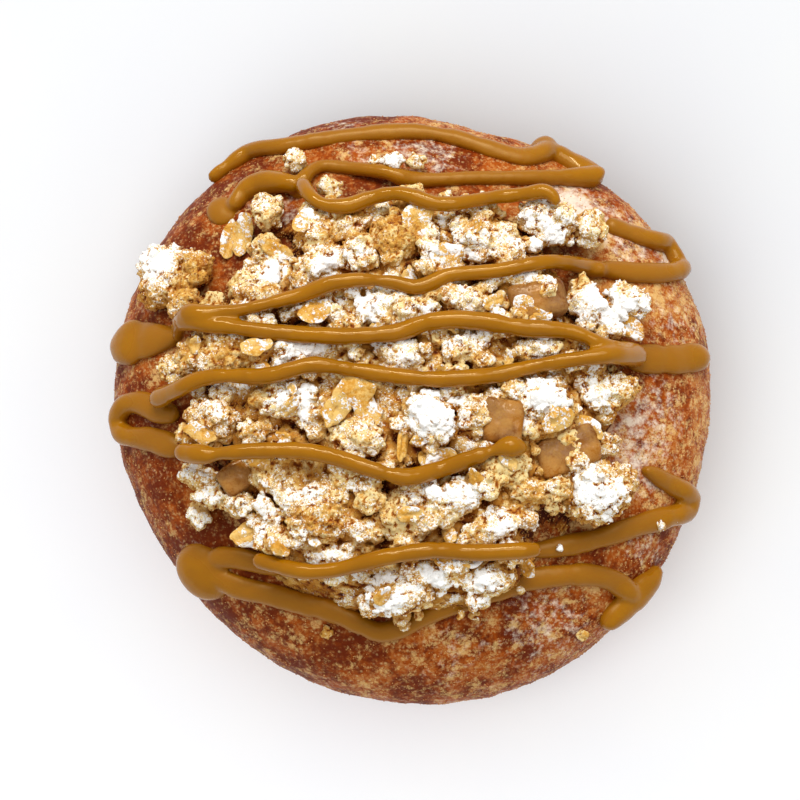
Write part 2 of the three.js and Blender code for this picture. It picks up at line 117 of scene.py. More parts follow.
table_form = bmesh.new()
bmesh.ops.create_grid(table_form, x_segments=1, y_segments=1, size=TABLE_REACH)
table_mesh = bpy.data.meshes.new("pale_table")
table_form.to_mesh(table_mesh)
table_form.free()
table = bpy.data.objects.new("pale_table", table_mesh)
scene.collection.objects.link(table)


def light_only(lamps, receiver, linked):
    """The lamps light only the receiver, or with linked as EXCLUDE everything but it."""
    group = bpy.data.collections.new("lit_apart")
    group.objects.link(receiver)
    group.collection_objects[0].light_linking.link_state = linked
    for lamp in lamps:
        lamp.light_linking.receiver_collection = group


light_only([strip, wide], table, "EXCLUDE")
light_only([table_lamp], table, "INCLUDE")

# %% [markdown]
# ## Colours and materials
# Colours are set by hand as ordinary screen values from 0 to 255, with the middle colours of small patches of
# the photograph and of test renders as a guide. Blender mixes light in linear values, so each one is
# converted. Every finish is a Principled BSDF, and on most of them the colour, the roughness and a bump come
# from procedural textures. A small helper wires nodes together so that the recipes further down stay short.

# %% Helpers for colours and nodes
BUMP_DEPTH = 0.0003  # metres between the low and the high points of a bump


def paint(red, green, blue):
    """A screen colour, 0 to 255, as the linear colour that a shader takes."""
    shares = [value / 255 for value in (red, green, blue)]
    return (*[s / 12.92 if s <= 0.04045 else ((s + 0.055) / 1.055) ** 2.4 for s in shares], 1)


class Recipe:
    """A node tree that is filled one node at a time; a socket that is given another socket is linked to it."""

    def __init__(self, tree):
        self.tree = tree

    def node(self, kind, settings=None, **inputs):
        made = self.tree.nodes.new(kind)
        for name, value in (settings or {}).items():
            setattr(made, name, value)
        for name, value in inputs.items():
            key = int(name[1:]) if name[0] == "i" and name[1:].isdigit() else name.replace("_", " ")
            if isinstance(value, bpy.types.NodeSocket):
                self.tree.links.new(value, made.inputs[key])
            else:
                made.inputs[key].default_value = value
        return made

    def link(self, value, socket):
        self.tree.links.new(value, socket)

    def maths(self, operation, first, second):
        return self.node("ShaderNodeMath", {"operation": operation}, i0=first, i1=second).outputs[0]

    def plus(self, first, *others):
        for other in others:
            first = self.maths("ADD", first, other)
        return first

    def times(self, first, second):
        return self.maths("MULTIPLY", first, second)

    def blend(self, share, first, second):
        return self.node("ShaderNodeMix", {"data_type": "RGBA"}, i0=share, i6=first, i7=second).outputs[2]

    def over(self, below, share, amount, colour):
        """Lays a colour over what is below, where the share says so and by no more than the amount."""
        return self.blend(self.times(share, amount), below, colour)

    def ramp(self, value, low, high):
        """0 below low, 1 above high and a soft step between."""
        settings = {"interpolation_type": "SMOOTHSTEP"}
        return self.node("ShaderNodeMapRange", settings, i0=value, i1=low, i2=high).outputs[0]

    def noise(self, place, size, detail=2.0, roughness=0.5):
        """Soft noise from 0 to 1 whose blobs are about size millimetres across."""
        scale = 1 / (size * MM)
        made = self.node("ShaderNodeTexNoise", Vector=place, Scale=scale, Detail=detail, Roughness=roughness)
        return made.outputs["Fac"]

    def swing(self, place, size, amount, detail=2.0, roughness=0.5):
        """The same noise, but it swings round zero, by half of the amount each way."""
        return self.times(self.maths("SUBTRACT", self.noise(place, size, detail, roughness), 0.5), amount)

    def attribute(self, name):
        return self.node("ShaderNodeAttribute", {"attribute_name": name}).outputs["Fac"]

    def place(self):
        return self.node("ShaderNodeTexCoord").outputs["Object"]


print("middle grey in linear light:", round(paint(128, 128, 128)[0], 3))

# %% [markdown]
# Three more helpers set up a material, dress its shader and set up a node group with named sockets. A group
# can be used by several finishes, and its inputs and outputs show what it needs and gives. The table is the
# first thing to be painted with them.

# %% Helpers for materials and groups
def new_material(name):
    material = bpy.data.materials.new(name)
    material.use_nodes = True
    return material, Recipe(material.node_tree), material.node_tree.nodes["Principled BSDF"]


def dress(recipe, shader, colour, roughness, height=None, strength=1.0, depth=BUMP_DEPTH, **uniform):
    """Links what varies to the shader and sets what is the same all over, named as its sockets are."""
    recipe.link(colour, shader.inputs["Base Color"])
    recipe.link(roughness, shader.inputs["Roughness"])
    if height is not None:
        bump = recipe.node("ShaderNodeBump", Strength=strength, Distance=depth, Height=height)
        recipe.link(bump.outputs[0], shader.inputs["Normal"])
    for name, value in uniform.items():
        shader.inputs[name.replace("_", " ")].default_value = value


def new_group(name, inputs, outputs):
    """A shader node group with named sockets: (name, socket type, default)."""
    tree = bpy.data.node_groups.new(name, "ShaderNodeTree")
    for title, kind, default in inputs:
        socket = tree.interface.new_socket(title, in_out="INPUT", socket_type=kind)
        if default is not None:
            socket.default_value = default
    for title, kind in outputs:
        tree.interface.new_socket(title, in_out="OUTPUT", socket_type=kind)
    recipe = Recipe(tree)
    return tree, recipe, recipe.node("NodeGroupInput").outputs, recipe.node("NodeGroupOutput").inputs


table_material, recipe, shader = new_material("pale_table")
grain = recipe.ramp(recipe.noise(recipe.place(), 40), 0.3, 0.7)
recipe.link(recipe.blend(grain, paint(250, 252, 255), paint(252, 254, 255)), shader.inputs["Base Color"])
shader.inputs["Roughness"].default_value = 0.9
table.data.materials.append(table_material)
print("table paint in linear light:", [round(value, 3) for value in paint(252, 254, 255)[:3]])

# %% [markdown]
# Two effects return on several finishes, so each is a node group. **Icing dust** turns a soft cover value
# into crisp powder with a ragged edge and tiny bare pits, as fine sugar really lies, and gives the thin haze
# round it too. **Baked tone** mixes a pale, a golden and a brown colour in uneven patches, the way dough
# takes colour in an oven.

# %% Build the shared node groups
COLOUR, VALUE, VECTOR = "NodeSocketColor", "NodeSocketFloat", "NodeSocketVector"

icing_dust, recipe, given, out = new_group(
    "icing_dust",
    [("Place", VECTOR, None), ("Cover", VALUE, 0.5), ("Edge", VALUE, 0.05)],
    [("Mask", VALUE), ("Haze", VALUE), ("Height", VALUE)],
)
fine = recipe.swing(given["Place"], 0.4, 2.6, 3.0, 0.75)
coarse = recipe.swing(given["Place"], 1.6, 1.9, 2.0, 0.6)
solid = recipe.times(recipe.ramp(given["Cover"], 0.5, 0.95), 0.55)
level = recipe.plus(given["Cover"], solid, fine, coarse)
some = recipe.ramp(given["Cover"], 0.01, 0.16)
low = recipe.maths("SUBTRACT", 0.5, given["Edge"])
high = recipe.plus(0.5, given["Edge"])
recipe.link(recipe.times(recipe.ramp(level, low, high), some), out["Mask"])
recipe.link(recipe.times(recipe.ramp(level, 0.05, 0.5), some), out["Haze"])
recipe.link(recipe.ramp(level, 0.2, 1.1), out["Height"])

baked_tone, recipe, given, out = new_group(
    "baked_tone",
    [("Place", VECTOR, None), ("Toast", VALUE, 0.5), ("Pale", COLOUR, None), ("Golden", COLOUR, None),
     ("Brown", COLOUR, None)],
    [("Colour", COLOUR)],
)
patches = recipe.swing(given["Place"], 3.2, 1.5)
grit = recipe.swing(given["Place"], 0.55, 2.2, 3.0, 0.7)
heat = recipe.plus(given["Toast"], patches, grit)
warm = recipe.blend(recipe.ramp(heat, 0.05, 0.6), given["Pale"], given["Golden"])
recipe.link(recipe.blend(recipe.ramp(heat, 0.6, 1.25), warm, given["Brown"]), out["Colour"])


def use_group(recipe, tree, **inputs):
    return recipe.node("ShaderNodeGroup", {"node_tree": tree}, **inputs).outputs


print("shared groups:", icing_dust.name, "and", baked_tone.name)

# %% [markdown]
# ## Uneven by numbers
# Nothing on a doughnut is smooth, so most meshes below get their last shape from noise. **Soft noise** gives
# each whole-numbered cell of space a repeatable random number and blends smoothly between them. **Pebbles**
# scatter one point in each cell and measure how far the nearest one is, which makes packed round grains.

# %% Noise in three dimensions
GRAIN_REACH = 0.75  # radius of a pebble, in cells
FARTHEST = 9.0  # cells, farther than any pebble can be


def hashed(cells, seed):
    """A repeatable random number from 0 to 1 for each row of whole numbers, mixed by large odd factors."""
    keys = cells.astype(np.uint32) * np.array([73856093, 19349663, 83492791], np.uint32)
    mixed = keys[:, 0] ^ keys[:, 1] ^ keys[:, 2] ^ np.uint32(seed * 2654435761 % 2**32)
    mixed = (mixed ^ (mixed >> 15)) * np.uint32(2246822519)
    mixed = (mixed ^ (mixed >> 13)) * np.uint32(3266489917)
    return (mixed ^ (mixed >> 16)) / 2**32


def soft_noise(points, size, seed):
    """Smooth noise from -1 to 1 with cells of the given size."""
    cell = np.floor(points / size)
    part = points / size - cell
    part = part**3 * (part * (part * 6 - 15) + 10)
    cell = cell.astype(np.int64)
    total = np.zeros(len(points))
    for corner in itertools.product((0, 1), repeat=3):
        share = np.where(corner, part, 1 - part).prod(axis=1)
        total += share * hashed(cell + corner, seed)
    return 2 * total - 1


def pebbles(points, size, seed):
    """Round grains: 1 at the middle of a grain and 0 where it ends, and a random number for each grain."""
    cell = np.floor(points / size).astype(np.int64)
    nearest = np.full(len(points), FARTHEST)
    tone = np.zeros(len(points))
    for offset in itertools.product((-1, 0, 1), repeat=3):
        near = cell + offset
        middle = near + np.stack([hashed(near, seed + axis) for axis in range(3)], axis=1)
        gap = np.linalg.norm(middle - points / size, axis=1)
        closer = gap < nearest
        nearest = np.where(closer, gap, nearest)
        tone = np.where(closer, hashed(near, seed + 3), tone)
    return np.sqrt(np.clip(1 - (nearest / GRAIN_REACH) ** 2, 0, 1)), tone


def soft_step(low, high, value):
    """0 below low, 1 above high and a soft step between; a high below low turns it round."""
    share = np.clip((value - low) / (high - low), 0, 1)
    return share * share * (3 - 2 * share)


sample = soft_noise(np.random.default_rng(1).uniform(-50, 50, (2000, 3)), 5, 1)
print("soft noise runs from", round(sample.min(), 2), "to", round(sample.max(), 2))

# %% [markdown]
# ## From a form to a piece
# A form is a bmesh in millimetres. `settle` makes it an object. `fuse` melts overlapping balls into one skin
# with a voxel remesh, the quickest way to lumps that really are one body.

# %% Helpers that turn forms into pieces
def settle(form, name):
    mesh = bpy.data.meshes.new(name)
    form.to_mesh(mesh)
    form.free()
    piece = bpy.data.objects.new(name, mesh)
    scene.collection.objects.link(piece)
    return piece


def add(form, part):
    """Moves a small form into a large one. Operators walk the whole form, so a small one is quicker."""
    mesh = bpy.data.meshes.new("part")
    part.to_mesh(mesh)
    part.free()
    form.from_mesh(mesh)
    bpy.data.meshes.remove(mesh)


def apply_modifiers(piece):
    bpy.context.view_layer.update()
    evaluated = piece.evaluated_get(bpy.context.evaluated_depsgraph_get())
    finished = bpy.data.meshes.new_from_object(evaluated)
    rough = piece.data
    piece.modifiers.clear()
    piece.data = finished
    bpy.data.meshes.remove(rough)


def fuse(piece, voxel, smoothing=0):
    """One closed skin round everything in the piece, in voxels of the given size."""
    remesh = piece.modifiers.new("fuse", "REMESH")
    remesh.mode = "VOXEL"
    remesh.voxel_size = voxel
    if smoothing:
        relax = piece.modifiers.new("relax", "SMOOTH")
        relax.factor = 0.5
        relax.iterations = smoothing
    apply_modifiers(piece)


print("ready: settle, add, apply_modifiers and fuse")

# %% [markdown]
# Some shapes are easier to work out with numbers than with operators: then all points of a piece are read at
# once as an array, moved, and written back. The same way one number for each vertex is kept on the mesh, for
# a material or for the sugar.

# %% Helpers that read and move points
def points_of(piece):
    points = np.empty(len(piece.data.vertices) * 3)
    piece.data.vertices.foreach_get("co", points)
    return points.reshape(-1, 3)


def normals_of(piece):
    normals = np.empty(len(piece.data.vertices) * 3)
    piece.data.vertex_normals.foreach_get("vector", normals)
    return normals.reshape(-1, 3)


def move_points(piece, points):
    piece.data.vertices.foreach_set("co", np.ascontiguousarray(points, dtype=np.float32).ravel())
    piece.data.update()


def store(piece, name, values):
    """Keeps one number for each vertex, which the materials and the sugar scatter read by its name."""
    attribute = piece.data.attributes.get(name) or piece.data.attributes.new(name, "FLOAT", "POINT")
    attribute.data.foreach_set("value", np.clip(values, 0, 1).astype(np.float32))


def stored(piece, name):
    values = np.empty(len(piece.data.vertices), dtype=np.float32)
    piece.data.attributes[name].data.foreach_get("value", values)
    return values


print("ready: points_of, normals_of, move_points, store and stored")

# %% [markdown]
# ## The fried dough
# A yeast doughnut without a hole is a flattened ball with full sides. A cube cut into a fine grid and pushed
# out to a ball has even squares all over, which a UV sphere hasn't. Each point then moves along its own
# direction to a profile a little squarer than an ellipse. Slow dimples, fine wrinkles and a rough skin of
# sugar come from noise.

# %% Shape the doughnut
RADIUS = 49.9
DOUGH_HEIGHT = 38
WAIST = 17  # height of the widest ring
SINK = 1.8  # how far the round underside would reach below the table
SQUARENESS = 2.4
# Waves of the outline: [waves in a turn, height, direction of a crest in degrees]. The heights and directions
# come from a fit to the outline in the photograph and were then rounded.
OUTLINE_WAVES = [(1, 1.3, 82), (2, 0.83, -44), (3, 0.77, 28), (4, 0.33, 21), (5, 0.3, 28)]
DOUGH_CUTS = 117


def outline(angle):
    """Radius of the doughnut in one direction."""
    waves = [height * np.cos(count * (angle - math.radians(crest))) for count, height, crest in OUTLINE_WAVES]
    return RADIUS + sum(waves)


def dough_top(x, y):
    """Height of the upper skin over a point of the table."""
    share = np.minimum(np.hypot(x, y) / outline(np.arctan2(y, x)), 1)
    return WAIST + (DOUGH_HEIGHT - WAIST) * (1 - share**SQUARENESS) ** (1 / SQUARENESS)


form = bmesh.new()
bmesh.ops.create_cube(form, size=2)
bmesh.ops.subdivide_edges(form, edges=form.edges, cuts=DOUGH_CUTS, use_grid_fill=True)
dough = settle(form, "dough_skin")
direction = np.tan(points_of(dough) * math.pi / 4)
direction /= np.linalg.norm(direction, axis=1, keepdims=True)
flat_reach = np.hypot(direction[:, 0], direction[:, 1]) / outline(np.arctan2(direction[:, 1], direction[:, 0]))
half_height = np.where(direction[:, 2] > 0, DOUGH_HEIGHT - WAIST, WAIST + SINK)
steep_reach = np.abs(direction[:, 2]) / half_height
reach = (flat_reach**SQUARENESS + steep_reach**SQUARENESS) ** (-1 / SQUARENESS)
points = direction * reach[:, None] + (0, 0, WAIST)
relief = 0.42 * soft_noise(points, 11, 1) + 0.2 * soft_noise(points, 4.2, 2) + 0.1 * soft_noise(points, 1.9, 3)
sugar_skin, _ = pebbles(points, 1.15, 4)
relief += 0.1 * sugar_skin + 0.07 * soft_noise(points, 0.8, 6)
points += direction * relief[:, None]
points[:, 2] = (points[:, 2] + np.sqrt(points[:, 2] ** 2 + 1)) / 2  # flattens softly what is below the table
points[:, 2] -= points[:, 2].min()
move_points(dough, points)
print("dough is", round(float(np.ptp(points[:, 0])), 1), "mm across")

# %% [markdown]
# The dough isn't one colour. Its left and front are a deep red brown, its right side and back right are lighter
# and sandier, and white dust lies where the icing sugar missed the heap. Part of the light and dark is painted
# light and shade: the side towards the light is painted lighter, and the far side, the back left and the skin
# low towards the table are painted darker. These slow changes are stored as numbers on the vertices.

# %% Store the dough's sandiness with its painted light and shade, and where it is dusted
# Direction of the painted light: the dough is painted lighter on this side
PAINTED_LIGHT_SIDE = math.radians(28)
# Patches of white dust: [x, y, radius, amount]
DOUGH_DUST = [
    (25.5, 33, 4, 1), (29.5, 30, 3, 0.5), (2, 40.4, 6, 0.55), (-8, 40, 4, 0.3), (34, -7, 7, 0.5),
    (40, -2, 6, 0.3), (-19, 30, 4, 0.4), (-25, 20, 3, 0.35), (36, 27, 7, 0.52), (6, -42, 8, 0.25),
    (22, -37, 8, 0.42), (-41, -12, 5, 0.14), (-36, -24, 4, 0.2), (-28, 33, 5, 0.25), (43, 13, 6, 0.36),
    (43.2, 24.2, 2, 0.8), (25, 43.3, 2, 0.4), (-12, 47, 4, 0.35), (38, -14, 5, 0.35), (38, -25, 4, 0.4),
    (-43, -4.2, 1.4, 0.3), (-44, 15, 4, 0.2),
]


def patch_cover(points, patches):
    """The sum of soft round patches, looked at from above."""
    cover = np.zeros(len(points))
    for x, y, radius, amount in patches:
        cover += amount * np.exp(-((points[:, 0] - x) ** 2 + (points[:, 1] - y) ** 2) / radius**2)
    return cover


round_angle = np.arctan2(points[:, 1], points[:, 0])
share = np.hypot(points[:, 0], points[:, 1]) / outline(round_angle)
# Painted light: the dough is painted lighter on the side the light comes from and darker on the far side.
painted_light_side = np.cos(round_angle - PAINTED_LIGHT_SIDE) * share
sandy_and_painted_light = 0.3 + 0.16 * painted_light_side + 0.3 * soft_noise(points, 8, 8) + 0.15 * soft_noise(points, 3, 9)
sandy_and_painted_light += 0.25 * np.exp(-((points[:, 2] - 12) / 5) ** 2)  # a paler ring low on the side
# Painted shade: the back left is painted darker, and so is the skin low towards the table.
sandy_and_painted_light -= 0.3 * soft_step(5, 35, points[:, 1]) * soft_step(15, -15, points[:, 0])  # darker at the back left
sandy_and_painted_light -= 0.3 * soft_step(20, 4, points[:, 2])  # and darker towards the table
store(dough, "sandy_and_painted_light", sandy_and_painted_light)
store(dough, "cover", patch_cover(points, DOUGH_DUST) * soft_step(12, 26, points[:, 2]))
clustered = 0.25 + 0.9 * soft_step(-0.2, 0.6, soft_noise(points, 2.4, 10))
on_side = soft_step(2, 6, points[:, 2]) * soft_step(0.3, 0.8, share + 0.12)
store(dough, "crystals", on_side * clustered * (0.25 + 0.9 * sandy_and_painted_light))
print("mean sandiness", round(float(np.clip(sandy_and_painted_light, 0, 1).mean()), 2))

# %% [markdown]
# The dough's finish goes from deep red brown to tan in mottles of all sizes, shifted by the stored sandiness,
# which also carries the painted light and shade. Three kinds of sugar lie on it: fine pale speckles, crisp
# cream patches where the sugar caked, and single round granules from a Voronoi texture. They are closer
# together where the dough is sandier and where it is painted lighter, and the speckles and granules raise the
# bump, so they catch light. White dust lies over it all in soft clouds.

# %% Mix the dough's finish
GRANULE_SPACING = 0.62

dough_material, recipe, shader = new_material("sugared_dough")
place = recipe.place()
# The stored value mixes sandiness with painted light and shade, so the skin is painted lighter on the lit side
# and darker at the back left and low down.
sandiness_and_painted_light = recipe.attribute("sandy_and_painted_light")
mottles = recipe.swing(place, 2.4, recipe.times(recipe.plus(sandiness_and_painted_light, 0.6), 3.2), 5.0, 0.72)
warmth_and_painted_light = recipe.plus(sandiness_and_painted_light, mottles, recipe.swing(place, 7, 1.2))
skin = recipe.blend(recipe.ramp(warmth_and_painted_light, -0.15, 0.65), paint(100, 29, 0), paint(158, 70, 6))
skin = recipe.blend(recipe.ramp(warmth_and_painted_light, 0.55, 1.4), skin, paint(182, 116, 44))
speckle_level = recipe.plus(recipe.noise(place, 0.75, 3.0, 0.7), recipe.times(warmth_and_painted_light, 0.14))
speckles = recipe.ramp(speckle_level, 0.52, 0.74)
skin = recipe.over(skin, speckles, 0.4, paint(210, 150, 82))
caked = recipe.plus(recipe.noise(place, 2.6, 7.0, 0.82), recipe.times(sandiness_and_painted_light, 0.12))
caked = recipe.ramp(caked, 0.55, 0.66)
skin = recipe.over(skin, caked, 0.66, paint(228, 188, 118))
granules = recipe.node("ShaderNodeTexVoronoi", Vector=place, Scale=1 / (GRANULE_SPACING * MM)).outputs
chance = recipe.plus(granules["Color"], recipe.times(recipe.plus(warmth_and_painted_light, caked), 0.16))
granules = recipe.times(recipe.ramp(granules["Distance"], 0.6, 0.1), recipe.ramp(chance, 0.6, 0.9))
skin = recipe.over(skin, granules, 0.45, paint(230, 190, 128))
cover = recipe.attribute("cover")
cloudy = recipe.ramp(recipe.plus(cover, recipe.swing(place, 1.5, 2.2, 4.0, 0.68)), 0.25, 1.0)
cloudy = recipe.times(cloudy, recipe.ramp(cover, 0.02, 0.3))
skin = recipe.over(skin, cloudy, 0.8, paint(240, 226, 206))
dress(
    recipe, shader, skin, recipe.ramp(speckles, 1.6, -1.2),
    height=recipe.plus(speckle_level, granules, recipe.times(cloudy, 0.3)), strength=0.5,
    Specular_IOR_Level=0.15, Specular_Tint=(1, 0.75, 0.45, 1),
)
print("dough finish has", len(recipe.tree.nodes), "nodes")

# %% [markdown]
# ## Crumble
# A cluster of crumble is a knot of rounded grains that baked together. So each one starts as a rough core
# with grains pressed into its surface, every one an icosphere, and a voxel remesh melts them into one craggy
# body. Sculpting by hand would look as good, but it couldn't be repeated for a hundred crumbs.

# %% Grow clusters from grains
VOXEL = 0.27
LOBES_IN_CORE = 6
GRAINS_PER_AREA = 3
GRAIN_SIZES = (0.3, 0.74)
SETTLED = 0.2  # how far a cluster sinks into what it lies on
CLUSTER_SEED, LOBE_SEED, CRUST_SEED = 200, 900, 300  # clusters, lobes and crusts count on from these


def grow_crumb(form, middle, radii, turn, seed):
    """Adds one crumb: an uneven core of a few lobes and the grains that sit on it."""
    random = np.random.default_rng(seed)
    crumb = bmesh.new()
    stand = Matrix.Translation(middle) @ Matrix.Rotation(math.radians(turn), 4, "Z")
    core = stand @ Matrix.Diagonal((*radii, 1))
    lobes = [(Vector((0, 0, 0)), 0.8)]
    for _ in range(LOBES_IN_CORE):
        out = Vector(random.normal(size=3)).normalized()
        share = random.uniform(0.34, 0.56)
        lobes.append((out * (0.98 - share), share))
    for middle_of_lobe, share in lobes:
        lobe = core @ Matrix.Translation(middle_of_lobe) @ Matrix.Scale(share, 4)
        bmesh.ops.create_icosphere(crumb, subdivisions=2, radius=1, matrix=lobe)
    area = (radii[0] * radii[1] + radii[0] * radii[2] + radii[1] * radii[2]) / 3
    for _ in range(int(GRAINS_PER_AREA * area) + 8):
        out = Vector(random.normal(size=3)).normalized()
        out.z = abs(out.z) if random.random() < 0.5 else out.z
        reach = max((offset + out * share).dot(out) for offset, share in lobes)
        at = core @ (out * (reach - random.uniform(0, 0.12)))
        size = min(random.uniform(*GRAIN_SIZES), 0.5 * max(radii))
        shape = Matrix.Diagonal((size * random.uniform(0.9, 1.5), size, size * random.uniform(0.7, 1), 1))
        tilt = Matrix.Rotation(random.uniform(0, math.tau), 4, Vector(random.normal(size=3)))
        grain = Matrix.Translation(at) @ tilt @ shape
        bmesh.ops.create_icosphere(crumb, subdivisions=2, radius=1, matrix=grain)
    add(form, crumb)


def crust(piece, seed, strength=1.0):
    """The fine craggy surface of baked crumbs; keeps how deep each point lies between its grains."""
    points = points_of(piece)
    coarse, tone = pebbles(points, 1.1, seed)
    fine, _ = pebbles(points, 0.55, seed + 10)
    ragged = soft_noise(points, 0.45, seed + 30)
    cracks = (1 - np.abs(soft_noise(points, 1.7, seed + 20))) ** 6  # thin lines where the noise crosses zero
    height = 0.13 * (coarse - 0.6) + 0.17 * (fine - 0.6) + 0.2 * ragged - 0.22 * (cracks - 0.3)
    move_points(piece, points + normals_of(piece) * (strength * height)[:, None])
    # The pit value also darkens the crumble's finish there, as painted shade.
    store(piece, "pit", soft_step(0, -0.24, height))
    store(piece, "grain_tone", tone)


print("a crumb with a radius of 3 mm gets", GRAINS_PER_AREA * 9 + 8, "grains")

# %% [markdown]
# The large clusters that stand out in the photograph are pieces of their own, so that each can be picked off.
# Their places and sizes were read off an enlarged photograph and turned into millimetres through this
# camera. Some are long or hooked, and these get a few lobes beside them before the remesh melts the whole
# cluster into one.

# %% Grow the large clusters
# Large clusters: [x, y, half length, half width, top above the dough, turn, toast, icing]
CLUSTERS = {
    "left": (-39.7, 19.5, 6.2, 5.8, 7.4, 20, 0.62, 0.42),
    "back": (-2.7, 23.6, 5.4, 4.8, 9.6, 0, 0.66, 0.4),
    "back_right": (22, 27.2, 5.6, 4.6, 8.8, -10, 0.3, 0.72),
    "right": (34.4, 13.8, 4.6, 3.8, 8.4, 15, 0.3, 0.66),
    "right_middle": (20.4, -3.4, 6.4, 4.4, 9.8, -8, 0.3, 0.8),
    "right_front": (28.8, -17.2, 7, 6, 10.2, 12, 0.42, 0.7),
    "middle": (2.6, -6.2, 5.4, 5.4, 10.4, 0, 0.4, 0.85),
    "front_middle": (-1.6, -21, 5.8, 4.8, 9.2, -12, 0.12, 0.5),
    "front": (-2, -32.6, 6.8, 4.6, 8.2, 4, 0.4, 0.68),
    "front_left": (-14.6, -20, 6.8, 6, 9.8, 30, 0.58, 0.52),
    "left_arch": (-31.4, -17.2, 3.6, 2.3, 7.4, 8, 0.16, 0.76),
    "left_low": (-31.4, -5.2, 5.4, 4, 8.6, -12, 0.5, 0.55),
}

# A few clusters have side lobes: [x, y, half length, half width, top above the dough]
LOBES = {
    "left": [(-36.8, 14.2, 3.6, 2.8, 6), (-41.6, 16.4, 3, 2.8, 6.2), (-35, 20.4, 3.2, 3.6, 6.6)],
    "left_arch": [(-34.4, -19.8, 1.8, 2.8, 5.6), (-27, -18.8, 3.2, 2.4, 7.8)],
    "left_low": [(-33.6, -8.4, 2.6, 2, 6.8)],
    "right_front": [(33, -14.6, 3.4, 3, 7.4)],
}


def grow_on_dough(form, x, y, half_length, half_width, top, turn, seed):
    middle = (x, y, float(dough_top(x, y)) + top / 2 - SETTLED)
    grow_crumb(form, middle, (half_length, half_width, top / 2), turn, seed)


clusters = {}
for index, (name, (*sizes, turn, toast, icing)) in enumerate(CLUSTERS.items()):
    form = bmesh.new()
    grow_on_dough(form, *sizes, turn, CLUSTER_SEED + index)
    for number, lobe_sizes in enumerate(LOBES.get(name, [])):
        grow_on_dough(form, *lobe_sizes, 0, LOBE_SEED + 10 * index + number)
    cluster = settle(form, f"crumble_cluster_{name}")
    fuse(cluster, VOXEL)
    crust(cluster, CRUST_SEED + index)
    store(cluster, "toast", np.full(len(cluster.data.vertices), toast))
    store(cluster, "icing", np.full(len(cluster.data.vertices), icing))
    clusters[name] = cluster
print(len(clusters), "clusters,", sum(len(piece.data.polygons) for piece in clusters.values()), "faces")

# %% [markdown]
# Between the large clusters lie smaller lumps and many crumbs. They are grown the same way, but kept in four
# pieces, one for each quarter of the heap, because nobody handles them one by one. Small crumbs are scattered
# with a seeded random generator, and one that would land on the rim is kept low.

# %% List the lumps and the gaps between them
HEAP_CENTRE = (-1.5, -2.5)
HEAP_RADIUS = 36.5
